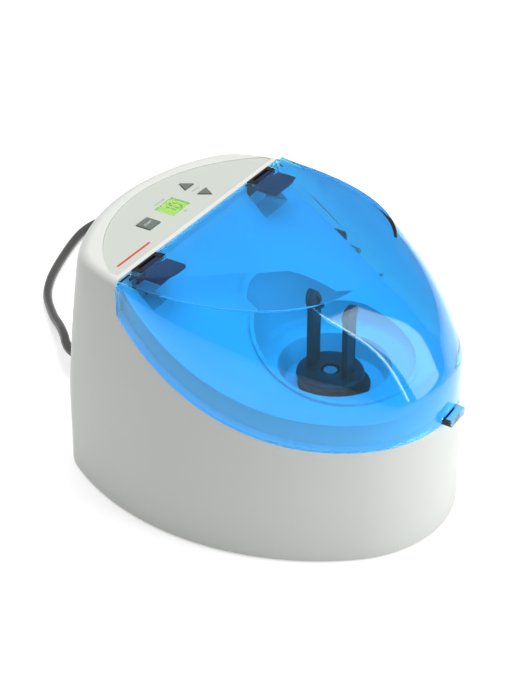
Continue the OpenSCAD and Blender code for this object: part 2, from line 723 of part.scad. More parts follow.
// Studs on the arm's flanks run in two posts of the chassis
stud_r = 4;
stud_out = 23.5;
post_in = 19.5;
post_t = 3;
module shaker_arm() color([0.75, 0.76, 0.78]) translate([0, arm_y, 0]) difference() {
    union() {
        translate([0, 0, shaft_z]) rotate([90, 0, 0]) cylinder(h = hub_w, r = hub_r, center = true);
        translate([-stem_x / 2, -stem_y / 2, shaft_z + race_r + 1])
            cube([stem_x, stem_y, ring_z - shaft_z - race_r - 1 - fit]);
        translate([0, 0, ring_z - arm_flange]) cylinder(h = arm_flange - fit, r = 9.5);
        translate([-6, -ear_y - 5, ear_z]) cube([12, 2 * ear_y + 10, ear_t]);
        translate([-5, -hub_w / 2, ear_z + 1]) cube([10, hub_w, ear_t + 2]);
        translate([-stud_out, 0, shaft_z]) rotate([0, 90, 0]) cylinder(h = 2 * stud_out, r = stud_r);
    }
    translate([0, 0, shaft_z]) rotate([90, 0, 0]) cylinder(h = 2 * hub_w, r = race_r + fit, center = true);
    translate([0, 0, ring_z - 12]) cylinder(h = 20, r = fork_bore);
}
module fork_screw() color([0.6, 0.6, 0.62]) translate([0, arm_y, 0]) {
    translate([0, 0, ring_z + ring_web + fit]) cylinder(h = 2.6, r = 4.5);
    translate([0, 0, ring_z - 10]) cylinder(h = 11 + ring_web, r = fork_bore - 0.1);
}
race_w = 9;
module arm_outer_race() color([0.7, 0.71, 0.73]) translate([0, arm_y, shaft_z]) rotate([90, 0, 0]) difference() {
    cylinder(h = race_w, r = race_r, center = true);
    sphere(ball_r + ball_play, $fn = 96);
}

// Rotating group on the motor shaft
sleeve_r = 6;
sleeve_l = 12;
shaft_front = arm_y - 16;
can_y = arm_y + upright_back + sheet_t + bell_l + 2 * fit;
bell_y = can_y + can_l;
shaft_back = bell_y + bell_l + 13;
module along_y(y, h, r) {
    translate([0, y, shaft_z]) rotate([-90, 0, 0]) cylinder(h = h, r = r);
}
module motor_shaft() color([0.72, 0.73, 0.75]) along_y(shaft_front, shaft_back - shaft_front, shaft_r);
module oblique_sleeve() color([0.8, 0.7, 0.4]) difference() {
    translate([0, arm_y, shaft_z]) rotate([90 + rock, 0, 0]) cylinder(h = sleeve_l, r = sleeve_r, center = true);
    along_y(arm_y - sleeve_l, 2 * sleeve_l, shaft_r + fit);
}
module arm_inner_race() color([0.7, 0.71, 0.73]) translate([0, arm_y, shaft_z]) rotate([90 + rock, 0, 0]) difference() {
    intersection() {
        sphere(ball_r, $fn = 96);
        cylinder(h = race_w - 1, r = 2 * ball_r, center = true);
    }
    cylinder(h = 2 * race_w, r = sleeve_r + fit, center = true);
}
weight_y = arm_y + 12;
module balance_weight() color([0.55, 0.5, 0.4]) difference() {
    union() {
        along_y(weight_y, 6, 8);
        intersection() {
            along_y(weight_y, 6, 13);
            translate([-20, weight_y, shaft_z - 20]) cube([40, 6, 20]);
        }
    }
    along_y(weight_y - 1, 8, shaft_r + fit);
}
core_r = can_r - 8;
module rotor_core() color([0.5, 0.5, 0.52]) difference() {
    along_y(can_y + 6, can_l - 12, core_r);
    along_y(can_y, can_l, shaft_r + fit);
}
fan_y = bell_y + bell_l + 3;
fan_r = can_r - 4;
module motor_fan() color([0.2, 0.2, 0.22]) difference() {
    union() {
        along_y(fan_y, 8, 8);
        for (a = [0 : 60 : 300]) translate([0, fan_y + 1, shaft_z]) rotate([0, a, 0])
            translate([-0.8, 0, 5]) cube([1.6, 6, fan_r - 6]);
    }
    along_y(fan_y - 1, 12, shaft_r + fit);
}

// Motor body
module motor_can() color([0.35, 0.36, 0.38]) difference() {
    along_y(can_y, can_l, can_r);
    along_y(can_y - 1, can_l + 2, can_r - 2.5);
}
bearing_r = 9;
bearing_l = 6;
screw_ring = can_r - 7;
module bell(y0, s) {
    difference() {
        along_y(s > 0 ? y0 : y0 - bell_l, bell_l, can_r);
        along_y(s > 0 ? y0 - 1 : y0 - 4, 5, can_r - 3);
        along_y(y0 - 20, 40, shaft_r + 1);
        along_y(s > 0 ? y0 + bell_l - bearing_l : y0 - bell_l - 10, bearing_l + 10, bearing_r + fit);
        if (s < 0) motor_screw_places() along_y(y0 - 20, 40, 2.05);
    }
}
module end_bells() color([0.6, 0.61, 0.63]) {
    bell(can_y - fit, -1);
    bell(bell_y + fit, 1);
}
module shaft_bearings() color([0.7, 0.71, 0.73]) difference() {
    union() {
        along_y(can_y - fit - bell_l, bearing_l, bearing_r);
        along_y(bell_y + fit + bell_l - bearing_l, bearing_l, bearing_r);
    }
    along_y(can_y - 50, 200, shaft_r + 0.05);
}
upright_y = arm_y + upright_back;
upright_w = 2 * can_r + 6;
upright_top = shaft_z + can_r;
module motor_screw_places() {
    for (a = [45 : 90 : 315]) translate([screw_ring * cos(a), 0, screw_ring * sin(a)]) children();
}
module motor_screws() color([0.6, 0.6, 0.62]) motor_screw_places() {
    along_y(upright_y - 2.5, 2.5 - fit, 3.6);
    along_y(upright_y - 1, sheet_t + bell_l - 4, 1.95);
}

tray_w = 96;
tray_front = arm_y - 40;
tray_back = bell_y + 16;
mount_x = tray_w / 2 - 9;
module mount_places() {
    for (x = [-mount_x, mount_x], y = [tray_front + 10, tray_back - 10]) translate([x, y, 0]) children();
}
module post(s) {
    x0 = s > 0 ? post_in : -post_in - post_t;
    translate([x0, arm_y - 2 * stud_r, chassis_z + 1]) cube([post_t, 4 * stud_r, shaft_z - chassis_z - 1]);
    translate([x0, arm_y, shaft_z]) rotate([0, 90, 0]) cylinder(h = post_t, r = 2 * stud_r);
}
module motor_chassis() color([0.68, 0.69, 0.7]) difference() {
    union() {
        translate([-tray_w / 2, tray_front, chassis_z]) cube([tray_w, tray_back - tray_front, sheet_t]);
        translate([-upright_w / 2, upright_y, chassis_z]) cube([upright_w, sheet_t, upright_top - chassis_z]);
        for (s = [-1, 1]) {
            translate([0, arm_y + s * ear_y, chassis_z + sheet_t - 0.5]) cylinder(h = 3.5, r = 2.6);
            post(s);
        }
    }
    translate([-upright_w, arm_y, shaft_z]) rotate([0, 90, 0]) cylinder(h = 2 * upright_w, r = stud_r + 0.06);
    along_y(upright_y - 5, 20, bearing_r + 3);
    motor_screw_places() along_y(upright_y - 5, 20, 2.1);
    mount_places() translate([0, 0, chassis_z - 5]) cylinder(h = 20, r = 4);
}
mount_low = shell_z + plate_t;
module vibration_mounts() color([0.13, 0.13, 0.13]) mount_places() difference() {
    union() {
        translate([0, 0, mount_low + fit]) cylinder(h = chassis_z - mount_low - 2 * fit, r = 7);
        translate([0, 0, chassis_z - 1]) cylinder(h = sheet_t + 2, r = 3.9);
        translate([0, 0, chassis_z + sheet_t + fit]) cylinder(h = 2, r = 7);
    }
    translate([0, 0, mount_low - 1]) cylinder(h = 20, r = 2);
}
module mount_screws() color([0.6, 0.6, 0.62]) mount_places() {
    translate([0, 0, chassis_z + sheet_t + 2 + 2 * fit]) cylinder(h = 2, r = 4.5);
    translate([0, 0, mount_low + fit]) cylinder(h = chassis_z + sheet_t - mount_low + 3, r = 1.9);
}

// Return springs under the arm's ears
wire_r = 0.6;
spring_r = 4.2;
spring_turns = 5;
spring_low = chassis_z + sheet_t + wire_r + 0.1;
spring_high = ear_z - wire_r - 0.1;
function spring_path(y) = [for (i = [0 : spring_turns * 8])
    [spring_r * cos(45 * i), y + spring_r * sin(45 * i),
        spring_low + (spring_high - spring_low) * i / (spring_turns * 8)]];
module spring(y) {
    sweep(spring_path(y), wire_r, 6, [0, 1, 0], [0, 1, 0]);
}
echo(spring_gap = (spring_high - spring_low) / spring_turns - 2 * wire_r);
module return_spring_front() color([0.7, 0.7, 0.72]) spring(arm_y - ear_y);
module return_spring_rear() color([0.7, 0.7, 0.72]) spring(arm_y + ear_y);

// Power parts on the base plate
trafo_x = -36;
trafo_y = back_y - 44;
trafo_w = 40;
trafo_d = 34;
trafo_h = 36;
trafo_z = mount_low + fit;
module transformer_core() color([0.3, 0.3, 0.32]) difference() {
    translate([trafo_x - trafo_w / 2, trafo_y - 9, trafo_z]) cube([trafo_w, 18, trafo_h]);
    for (s = [-1, 1]) translate([trafo_x + s * 10 - 4, trafo_y - 20, trafo_z + 7]) cube([8, 40, trafo_h - 14]);
}
module transformer_winding() color([0.75, 0.6, 0.3]) difference() {
    translate([trafo_x - 13.5, trafo_y - trafo_d / 2, trafo_z + 7.3]) cube([27, trafo_d, trafo_h - 14.6]);
    translate([trafo_x - 6.2, trafo_y - 9.2, 0]) cube([12.4, 18.4, 100]);
    for (s = [-1, 1]) translate([trafo_x + s * 20.2 - 6.4, trafo_y - 9.2, 0]) cube([12.8, 18.4, 100]);
}
module power_board() color([0.15, 0.4, 0.2]) translate([30, back_y - 62, mount_low + fit]) {
    for (x = [4, 36], y = [4, 32]) translate([x, y, 0]) cylinder(h = 5, r = 2.5);
    translate([0, 0, 4.9]) cube([40, 36, 1.6]);
    translate([12, 12, 6.4]) cylinder(h = 22, r = 7);
    translate([29, 24, 6.4]) cylinder(h = 16, r = 5);
}

// Rocker switch: frame with a pocket, rocker on a pin through its middle
rocker_w = switch_body_w - 3;
rocker_h = switch_body_h - 3;
rocker_pivot = switch_y - 2;
module switch_frame() color([0.08, 0.08, 0.08]) difference() {
    union() {
        translate([-bezel_w / 2, switch_y + fit, switch_z - bezel_h / 2]) cube([bezel_w, 2, bezel_h]);
        translate([-switch_body_w / 2, switch_y - 18, switch_z - switch_body_h / 2])
            cube([switch_body_w, 19, switch_body_h]);
    }
    translate([-rocker_w / 2 - 0.4, switch_y - 10, switch_z - rocker_h / 2 - 0.5])
        cube([rocker_w + 0.8, 20, rocker_h + 1]);
    translate([0, rocker_pivot, switch_z]) rotate([0, 90, 0])
        cylinder(h = rocker_w + 2.4, r = 1.2 + 0.06, center = true);
}
module switch_rocker() color([0.6, 0.08, 0.06]) {
    face = 3.4;
    translate([0, rocker_pivot, switch_z]) {
        rotate([0, 90, 0]) cylinder(h = rocker_w + 2, r = 1.2, center = true);
        rotate([90, 0, 90]) linear_extrude(rocker_w, center = true) polygon([
            [-4, 0], [-1, -rocker_h / 2 + 0.9], [face - 1.4, -rocker_h / 2 + 0.5],
            [face, 0], [face + 1, rocker_h / 2 - 1.2], [-1, rocker_h / 2 - 1.2]]);
    }
}

module fuse_holder() color([0.08, 0.08, 0.08]) translate([0, fuse_y, fuse_z]) rotate([-90, 0, 0]) difference() {
    union() {
        translate([0, 0, fit]) cylinder(h = 1, r = fuse_r);
        translate([0, 0, -28]) cylinder(h = 28.5, r = fuse_body_r);
    }
    translate([0, 0, -24]) cylinder(h = 40, r = fuse_body_r - 1.5);
}
module fuse_cap() color([0.14, 0.14, 0.14]) translate([0, fuse_y, fuse_z]) rotate([-90, 0, 0]) difference() {
    union() {
        translate([0, 0, -20]) cylinder(h = 22, r = fuse_body_r - 1.6);
        translate([0, 0, 1 + 2 * fit]) cylinder(h = 1.2, r = fuse_body_r);
    }
    translate([-4, -0.6, 1.3]) cube([8, 1.2, 5]);
}

// Lead: gland, tapered relief, free stretch, coil, stretch to the plug
cord_r = cord_d / 2;
nut_y = gland_y - wall - 0.1;
module cord_gland() color([0.1, 0.1, 0.1]) translate([gland_x, 0, gland_z]) rotate([-90, 0, 0]) difference() {
    union() {
        translate([0, 0, gland_y + fit]) cylinder(h = back_y - gland_y - fit, r = gland_flange);
        translate([0, 0, nut_y - 4]) cylinder(h = back_y - nut_y + 3.5, r = gland_hole);
        translate([0, 0, nut_y - 4]) cylinder(h = 4 - fit, r = gland_flange);
    }
    translate([0, 0, nut_y - 10]) cylinder(h = 40, r = cord_r + fit);
}
relief_y = back_y + relief_l;
module strain_relief() color([0.1, 0.1, 0.1])
translate([gland_x, back_y, gland_z]) rotate([-90, 0, 0]) difference() {
    cylinder(h = relief_l, r1 = 6.2, r2 = cord_r + 1);
    translate([0, 0, -1]) cylinder(h = relief_l + 2, r = cord_r + fit);
    for (i = [0 : 3]) translate([0, 0, 7 + 5 * i]) difference() {
        cylinder(h = 1.6, r = 8);
        translate([0, 0, -1]) cylinder(h = 4, r = cord_r + 0.8);
    }
}

lie = cord_r + 0.1;
coil_pitch = cord_d + 0.8;
coil_x = 196;
coil_y = 205;
coil_lift = 1.4;
coil_start = [coil_x + coil_r, coil_y, lie + coil_lift];
first_bend = 34;
cord_points = concat(
    [for (y = [nut_y - 8, back_y + 14, relief_y + 2]) [gland_x, y, gland_z]],
    [for (a = [15, 30, 45])
        [gland_x + first_bend * (1 - cos(a)), relief_y + 2 + first_bend * sin(a), gland_z]],
    [[24.5, 198, 19.6], [31, 205, 18.3], [39, 214, 15.8], [50, 227.5, 12], [62.5, 241, 8.4],
        [74.5, 253, 5.6], [86, 262.5, lie + 0.4], [97, 269.5, lie], [109, 275.5, lie], [124, 281.5, lie],
        [140, 287, lie], [156, 292, lie], [170, 295.5, lie], [183, 297, lie], [196, 295.5, lie],
        [209, 290, lie], [221, 280, lie], [230.5, 265.5, lie], [236, 247, lie], [238, 228, lie + 0.7],
        coil_start]);
coil_top = coil_start.z + coil_pitch * coil_turns;
plug_x = coil_x + coil_r;
plug_y = 74;
plug_mid = plug_t / 2;
lead_end = plug_y + plug_l + 14;
lead_points = [
    [coil_x + coil_r, coil_y, coil_top], [plug_x, coil_y - 15, coil_top - 1], [plug_x, coil_y - 32, coil_top - 7],
    [plug_x, coil_y - 48, coil_top - 17], [plug_x, lead_end + 10, plug_mid + 0.6],
    [plug_x, lead_end + 1, plug_mid], [plug_x, lead_end - 10, plug_mid],
    [plug_x, plug_y + plug_l - 12, plug_mid]
];
module mains_cord() color([0.08, 0.08, 0.08])
    sweep(smooth(cord_points, 3), cord_r, 10, [0, 1, 0], [0, -1, 0]);
// Turns run clockwise from the end of the free stretch, one diameter apart in height
ring_n = 24;
function coil_point(i) = [coil_x + coil_r * cos(360 * i / ring_n), coil_y - coil_r * sin(360 * i / ring_n),
    coil_start.z + coil_pitch * i / ring_n];
coil_path = [for (i = [0 : ring_n * coil_turns]) coil_point(i)];
module cord_coil() color([0.08, 0.08, 0.08]) sweep(coil_path, cord_r, 6, [0, -1, 0], [0, -1, 0]);
coil_gap = min([for (i = [0 : ring_n * (coil_turns - 1)], j = [ring_n - 2 : ring_n + 2])
    norm(coil_point(i) - coil_point(i + j)) - 2 * cord_r]);
echo(coil_gap = coil_gap);
module plug_lead() color([0.08, 0.08, 0.08])
    sweep(smooth(lead_points, 4), cord_r, 10, [0, -1, 0], [0, -1, 0]);
tie_t = 1.2;
tie_w = 12;
tie_room = 1;
module cord_tie() color([0.12, 0.12, 0.12]) translate([coil_x - coil_r, coil_y - tie_w / 2, 0]) {
    inner_w = cord_d + 2 * tie_room;
    inner_h = coil_top + cord_r + loose - tie_t - 0.1;
    difference() {
        translate([-inner_w / 2 - tie_t, 0, 0.05]) cube([inner_w + 2 * tie_t, tie_w, inner_h + 2 * tie_t]);
        translate([-inner_w / 2, -1, 0.05 + tie_t]) cube([inner_w, tie_w + 2, inner_h]);
    }
}
module plug_body() color([0.1, 0.1, 0.1]) difference() {
    union() {
        translate([plug_x - plug_w / 2 + plug_t / 2, plug_y, plug_mid]) rotate([-90, 0, 0])
            cylinder(h = plug_l * 0.6, r = plug_t / 2);
        translate([plug_x + plug_w / 2 - plug_t / 2, plug_y, plug_mid]) rotate([-90, 0, 0])
            cylinder(h = plug_l * 0.6, r = plug_t / 2);
        translate([plug_x - plug_w / 2 + plug_t / 2, plug_y, 0]) cube([plug_w - plug_t, plug_l * 0.6, plug_t]);
        translate([plug_x, plug_y + plug_l * 0.6 - 1, plug_mid]) rotate([-90, 0, 0])
            cylinder(h = plug_l * 0.4 + 1, r1 = plug_t / 2 - 1, r2 = cord_r + 3);
        translate([plug_x, plug_y + plug_l - 1, plug_mid]) rotate([-90, 0, 0])
            cylinder(h = 15, r1 = cord_r + 2, r2 = cord_r + 1);
    }
    translate([plug_x, plug_y + plug_l - 12, plug_mid]) rotate([-90, 0, 0]) cylinder(h = 40, r = cord_r + fit);
    for (s = [-1, 1]) translate([plug_x + s * 9.5, plug_y - 1, plug_mid]) rotate([-90, 0, 0])
        cylinder(h = 9, r = 2.4 + fit);
}
module plug_pins() color([0.8, 0.78, 0.7]) for (s = [-1, 1])
    translate([plug_x + s * 9.5, plug_y - 19, plug_mid]) rotate([-90, 0, 0]) {
        cylinder(h = 26, r = 2.4);
    }

housing();
base_plate();
rubber_feet();
base_screws();
control_overlay();
lcd_window();
display_module();
control_board();
board_spacers();
board_screws();
tact_switches();
start_key();
up_key();
down_key();
mixing_well();
rubber_boot();
lid();
hinge_arms();
hinge_brackets();
hinge_pins();
lid_switch();
switch_plunger();
capsule_fork();
shaker_arm();
arm_outer_race();
fork_screw();
motor_shaft();
oblique_sleeve();
arm_inner_race();
balance_weight();
rotor_core();
motor_fan();
motor_can();
end_bells();
shaft_bearings();
motor_screws();
motor_chassis();
vibration_mounts();
mount_screws();
return_spring_front();
return_spring_rear();
transformer_core();
transformer_winding();
power_board();
switch_frame();
switch_rocker();
fuse_holder();
fuse_cap();
cord_gland();
strain_relief();
mains_cord();
cord_coil();
plug_lead();
cord_tie();
plug_body();
plug_pins();
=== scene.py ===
import math

import bmesh
import bpy
from mathutils import Matrix, Vector


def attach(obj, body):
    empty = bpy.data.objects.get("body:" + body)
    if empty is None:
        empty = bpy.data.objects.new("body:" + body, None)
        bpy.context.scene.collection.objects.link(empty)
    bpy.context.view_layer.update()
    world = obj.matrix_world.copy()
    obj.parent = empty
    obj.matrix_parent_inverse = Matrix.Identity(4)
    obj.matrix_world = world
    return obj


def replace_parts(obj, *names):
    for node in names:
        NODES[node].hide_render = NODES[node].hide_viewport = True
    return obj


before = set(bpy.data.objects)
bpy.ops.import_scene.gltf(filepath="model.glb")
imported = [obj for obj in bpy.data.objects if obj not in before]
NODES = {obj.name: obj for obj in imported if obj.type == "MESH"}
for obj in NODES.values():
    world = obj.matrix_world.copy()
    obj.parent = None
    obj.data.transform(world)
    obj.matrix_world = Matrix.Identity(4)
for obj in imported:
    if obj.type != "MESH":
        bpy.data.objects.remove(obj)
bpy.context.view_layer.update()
MM = 0.001

# Nose of the body, and the seam below the lid: its height at the nose and the radius it climbs on, in mm
NOSE_Y, SEAM_Z, SEAM_R = -132.5, 86.0, 225.0
# Run of the seam behind the nose that stays level
SEAM_LEVEL = 25

# Camera at the photograph's angle, on a long lens
VIEW_TURN, VIEW_TILT, VIEW_AWAY = math.radians(-58.14), math.radians(34.0), 1.15779
LOOK_AT = Vector((-0.00489, 0.00519, 0.09238))
FOCAL_PIXELS, PHOTO_PIXELS, SENSOR_MM = 1742.75, 700, 36
away = Vector((math.sin(VIEW_TURN) * math.cos(VIEW_TILT),
               -math.cos(VIEW_TURN) * math.cos(VIEW_TILT),
               math.sin(VIEW_TILT)))
camera = bpy.data.objects.new("camera", bpy.data.cameras.new("camera"))
bpy.context.scene.collection.objects.link(camera)
camera.location = LOOK_AT + away * VIEW_AWAY
camera.rotation_euler = (-away).to_track_quat("-Z", "Y").to_euler()
camera.data.lens = FOCAL_PIXELS * SENSOR_MM / PHOTO_PIXELS
bpy.context.scene.camera = camera


# Materials
class Wire:
    """A socket whose arithmetic adds Math nodes."""

    def __init__(self, paint, socket):
        self.paint, self.socket = paint, socket

    def calc(self, operation, a, b=0.0, c=0.0):
        return self.paint.add("Math", {"operation": operation}, {0: a, 1: b, 2: c})

    def __add__(self, other):
        return self.calc("ADD", self, other)

    def __sub__(self, other):
        return self.calc("SUBTRACT", self, other)

    def __mul__(self, other):
        return self.calc("MULTIPLY", self, other)

    def clamp(self, low, high):
        return self.calc("MINIMUM", self.calc("MAXIMUM", self, low), high)


class Paint:
    """One material: its Principled shader, and one way to add any other node."""

    def __init__(self, name, **constants):
        self.material = bpy.data.materials.new(name)
        self.material.use_nodes = True
        self.tree = self.material.node_tree
        self.shader = self.tree.nodes["Principled BSDF"]
        for socket, value in constants.items():
            self.shader.inputs[socket.replace("_", " ")].default_value = value

    def add(self, kind, settings=None, inputs=None, output=0):
        node = self.tree.nodes.new("ShaderNode" + kind)
        for key, value in (settings or {}).items():
            setattr(node, key, value)
        for key, value in (inputs or {}).items():
            self.feed(node.inputs[key], value)
        return Wire(self, node.outputs[output])

    def feed(self, socket, value):
        if isinstance(value, Wire):
            self.tree.links.new(value.socket, socket)
        else:
            socket.default_value = value

    def drive(self, **sockets):
        for socket, value in sockets.items():
            self.feed(self.shader.inputs[socket.replace("_", " ")], value)

    def place(self):
        return self.add("TexCoord", output="Object")

    def split(self, vector, axis):
        return self.add("SeparateXYZ", {}, {0: vector}, "XYZ".index(axis))

    def noise(self, scale, detail=2.0):
        return self.add("TexNoise", {}, {"Vector": self.place(), "Scale": scale, "Detail": detail})

    def mix(self, share, a, b):
        node = self.tree.nodes.new("ShaderNodeMix")
        node.data_type = "RGBA"
        for socket, value in zip((node.inputs[0], node.inputs[6], node.inputs[7]), (share, a, b)):
            self.feed(socket, value)
        return Wire(self, node.outputs[2])

    def bump(self, height, depth, strength=1.0):
        return self.add("Bump", {}, {"Height": height, "Distance": depth, "Strength": strength})

    def pass_lamps(self, colour):
        """Lamplight goes straight through with a tint, and all other rays meet the shader."""
        lamp = self.add("LightPath", output="Is Shadow Ray")
        through = self.add("BsdfTransparent", {}, {"Color": colour})
        both = self.add("MixShader", {}, {0: lamp, 1: Wire(self, self.shader.outputs[0]), 2: through})
        self.tree.links.new(both.socket, self.tree.nodes["Material Output"].inputs["Surface"])


def rgb(r, g, b):
    """A linear colour from an sRGB one in 0..255."""
    return tuple(c / 255 / 12.92 if c <= 10 else ((c / 255 + 0.055) / 1.055) ** 2.4
                 for c in (r, g, b)) + (1.0,)


def moulded(name, colour, rough, grain=1100.0, depth=0.00003, tint=0.05):
    """Moulded plastic: a fine spark-eroded grain, faint tone drift, gloss that varies a little."""
    paint = Paint(name, Roughness=rough)
    drift = paint.noise(14.0, 3.0)
    darker = tuple(c * (1 - tint) for c in colour[:3]) + (1,)
    paint.drive(Base_Color=paint.mix(drift, darker, colour))
    paint.drive(Roughness=(paint.noise(60.0, 4.0) - 0.5) * 0.14 + rough)
    paint.drive(Normal=paint.bump(paint.noise(grain, 2.0), depth, 0.5))
    return paint.material


def metal(name, colour, rough, stretch=(1, 1, 1), scale=900.0):
    """Machined or drawn metal: fine scratches along one way."""
    paint = Paint(name, Roughness=rough, Metallic=1.0)
    along = paint.add("Mapping", {}, {"Vector": paint.place(), "Scale": stretch})
    lines = paint.add("TexNoise", {}, {"Vector": along, "Scale": scale, "Detail": 3.0})
    darker = tuple(c * 0.82 for c in colour[:3]) + (1,)
    paint.drive(Base_Color=paint.mix(paint.noise(40.0, 4.0), darker, colour))
    paint.drive(Roughness=(lines - 0.5) * 0.25 + rough)
    paint.drive(Normal=paint.bump(lines, 0.00002, 0.4))
    return paint.material


# Tints of the lid: two tones that drift into each other, the low band painted paler as painted light that comes
# through it there, and what lamps cast through it
LID_DEEP, LID_LIGHT = (0.075, 0.49, 0.80, 1), (0.11, 0.53, 0.83, 1)
LID_BAND_PAINTED_LIGHT, LID_CAST = (0.22, 0.70, 1.0, 1), (0.20, 0.58, 0.92, 1)
# The band's painted light fades out over 1 / BAND_FADE metres above the seam, up to BAND_RUN behind the nose
BAND_FADE, BAND_RUN = 28.0, 0.2


def clear_blue():
    """Clear tinted polycarbonate that lamps shine through, with painted light along its lower band."""
    paint = Paint("lid_polycarbonate", Roughness=0.02, IOR=1.18, Transmission_Weight=1.0, Coat_Weight=1.0,
                  Coat_IOR=1.5, Coat_Roughness=0.04)
    body = paint.mix(paint.noise(9.0, 2.0), LID_DEEP, LID_LIGHT)
    # Painted light: paler along the lower band, whose height follows the seam, standing in for light that comes
    # through the lid there
    y = paint.split(paint.place(), "Y") - (NOSE_Y + SEAM_LEVEL) * MM
    z = paint.split(paint.place(), "Z")
    run = y.clamp(0.0, BAND_RUN)
    seam = run.calc("SQRT", (run * run) * -1.0 + (SEAM_R * MM) ** 2) * -1.0 + (SEAM_Z + SEAM_R) * MM
    share = ((z - seam) * BAND_FADE).clamp(0.0, 1.0)
    paint.drive(Base_Color=paint.mix(share, LID_BAND_PAINTED_LIGHT, body))
    paint.drive(Normal=paint.bump(paint.noise(16.0, 2.0), 0.0004, 0.25))
    paint.pass_lamps(LID_CAST)
    return paint.material


WHITE = moulded("housing_white", rgb(227, 230, 225), 0.36, depth=0.00002)
WELL = moulded("well_white", rgb(226, 230, 226), 0.3, grain=700.0)
BASE = moulded("base_white", rgb(208, 211, 205), 0.5)
PANEL = moulded("panel_film", rgb(203, 209, 200), 0.5, grain=2600.0, depth=0.00001, tint=0.02)
BLACK = moulded("black_plastic", rgb(26, 27, 30), 0.34)
NAVY = moulded("hinge_navy", rgb(12, 22, 62), 0.5)
BLACK_MATT = moulded("black_matt", rgb(30, 31, 33), 0.55, grain=800.0)
RUBBER = moulded("black_rubber", rgb(22, 22, 23), 0.7, grain=600.0, depth=0.00005)
CORD = moulded("lead_pvc", rgb(86, 87, 85), 0.34, grain=500.0, depth=0.00002)
KEY = moulded("key_grey", rgb(112, 121, 115), 0.4, grain=1800.0, depth=0.00001)
RED = moulded("rocker_red", rgb(150, 22, 18), 0.3)
RED_INK = moulded("ink_red", rgb(214, 74, 58), 0.5, grain=2000.0, depth=0.00001)
GREY_INK = moulded("ink_grey", rgb(158, 165, 158), 0.5, grain=2000.0, depth=0.00001)
WHITE_INK = moulded("ink_white", rgb(226, 230, 226), 0.5, grain=2000.0, depth=0.00001)
SEGMENT = moulded("display_segment", rgb(70, 96, 34), 0.4, grain=2000.0, depth=0.00001)
BOARD = moulded("board_green", rgb(22, 88, 48), 0.35, grain=300.0)
WINDING = moulded("winding_tape", rgb(190, 152, 74), 0.45, grain=400.0)
STEEL = metal("steel", (0.62, 0.62, 0.64, 1), 0.3)
SHEET = metal("chassis_steel", (0.6, 0.61, 0.62, 1), 0.38, stretch=(1, 18, 1), scale=300.0)
ALLOY = metal("cast_alloy", (0.66, 0.67, 0.68, 1), 0.45, scale=260.0)
BRASS = metal("brass", (0.72, 0.55, 0.28, 1), 0.28)
CORE = metal("core_sheet", (0.24, 0.24, 0.26, 1), 0.5, stretch=(1, 60, 1), scale=60.0)
CAN = moulded("motor_paint", rgb(86, 88, 92), 0.42, grain=500.0)


def lit_green():
    paint = Paint("display_green", Roughness=0.35)
    tone = paint.mix(paint.noise(60.0, 2.0), rgb(108, 150, 40), rgb(124, 164, 52))
    paint.drive(Base_Color=tone, Emission_Color=tone)
    paint.shader.inputs["Emission Strength"].default_value = 0.05
    return paint.material


def window():
    paint = Paint("window_clear", Roughness=0.08, IOR=1.45, Transmission_Weight=1.0)
    paint.drive(Base_Color=paint.mix(paint.noise(20.0), (0.95, 1, 0.93, 1), (0.98, 1, 0.97, 1)))
    paint.pass_lamps((0.95, 1, 0.93, 1))
    return paint.material


GREEN, CLEAR, BLUE = lit_green(), window(), clear_blue()


# Mesh helpers
def piece_from(bm, name, material, smooth=True):
    mesh = bpy.data.meshes.new(name)
    bm.to_mesh(mesh)
    bm.free()
    for polygon in mesh.polygons:
        polygon.use_smooth = smooth
    piece = bpy.data.objects.new(name, mesh)
    bpy.context.scene.collection.objects.link(piece)
    mesh.materials.append(material)
    return piece


def settle(piece):
    """The piece's modifiers, applied."""
    bpy.context.view_layer.update()
    shown = piece.evaluated_get(bpy.context.evaluated_depsgraph_get())
    baked = bpy.data.meshes.new_from_object(shown)
    piece.modifiers.clear()
    piece.data = baked
    return piece


def carve(piece, tool, how="DIFFERENCE"):
    modifier = piece.modifiers.new("carve", "BOOLEAN")
    modifier.object, modifier.operation, modifier.solver = tool, how, "EXACT"
    settle(piece)
    bpy.data.objects.remove(tool)
    return piece


def edged(piece, width, segments, angle):
    """Softened edges and smooth faces between them."""
    bevel = piece.modifiers.new("edges", "BEVEL")
    bevel.width, bevel.segments, bevel.limit_method = width * MM, segments, "ANGLE"
    bevel.angle_limit, bevel.harden_normals, bevel.use_clamp_overlap = math.radians(angle), True, True
    bevel.miter_outer = "MITER_ARC"
    return piece


def skin(name, rings, material, mark=None):
    """A closed skin through rings of points in mm, grown from a circle ring by ring."""
    bm = bmesh.new()
    turn = bm.verts.layers.int.new("turn")
    level = bm.verts.layers.int.new("level")
    count = len(rings[0])
    first = bmesh.ops.create_circle(bm, segments=count, radius=1.0)["verts"]
    for i, vert in enumerate(first):
        vert[turn], vert.co = i, Vector(rings[0][i]) * MM
    edges = list(bm.edges)
    caps = [edges]
    for k, ring in enumerate(rings[1:], 1):
        grown = bmesh.ops.extrude_edge_only(bm, edges=edges)["geom"]
        for vert in grown:
            if isinstance(vert, bmesh.types.BMVert):
                vert.co, vert[level] = Vector(ring[vert[turn]]) * MM, k
        edges = [e for e in grown if isinstance(e, bmesh.types.BMEdge)
                 and all(v[level] == k for v in e.verts)]
    caps.append(edges)
    for loop in caps:
        bmesh.ops.contextual_create(bm, geom=loop)
    bmesh.ops.recalc_face_normals(bm, faces=bm.faces[:])
    if mark:
        for k, width, segments in mark:
            ridge = [e for e in bm.edges if all(v[level] == k for v in e.verts)]
            bmesh.ops.bevel(bm, geom=ridge, offset=width * MM, segments=segments, affect="EDGES",
                            profile=0.5, material=-1, clamp_overlap=True)
    return piece_from(bm, name, material)


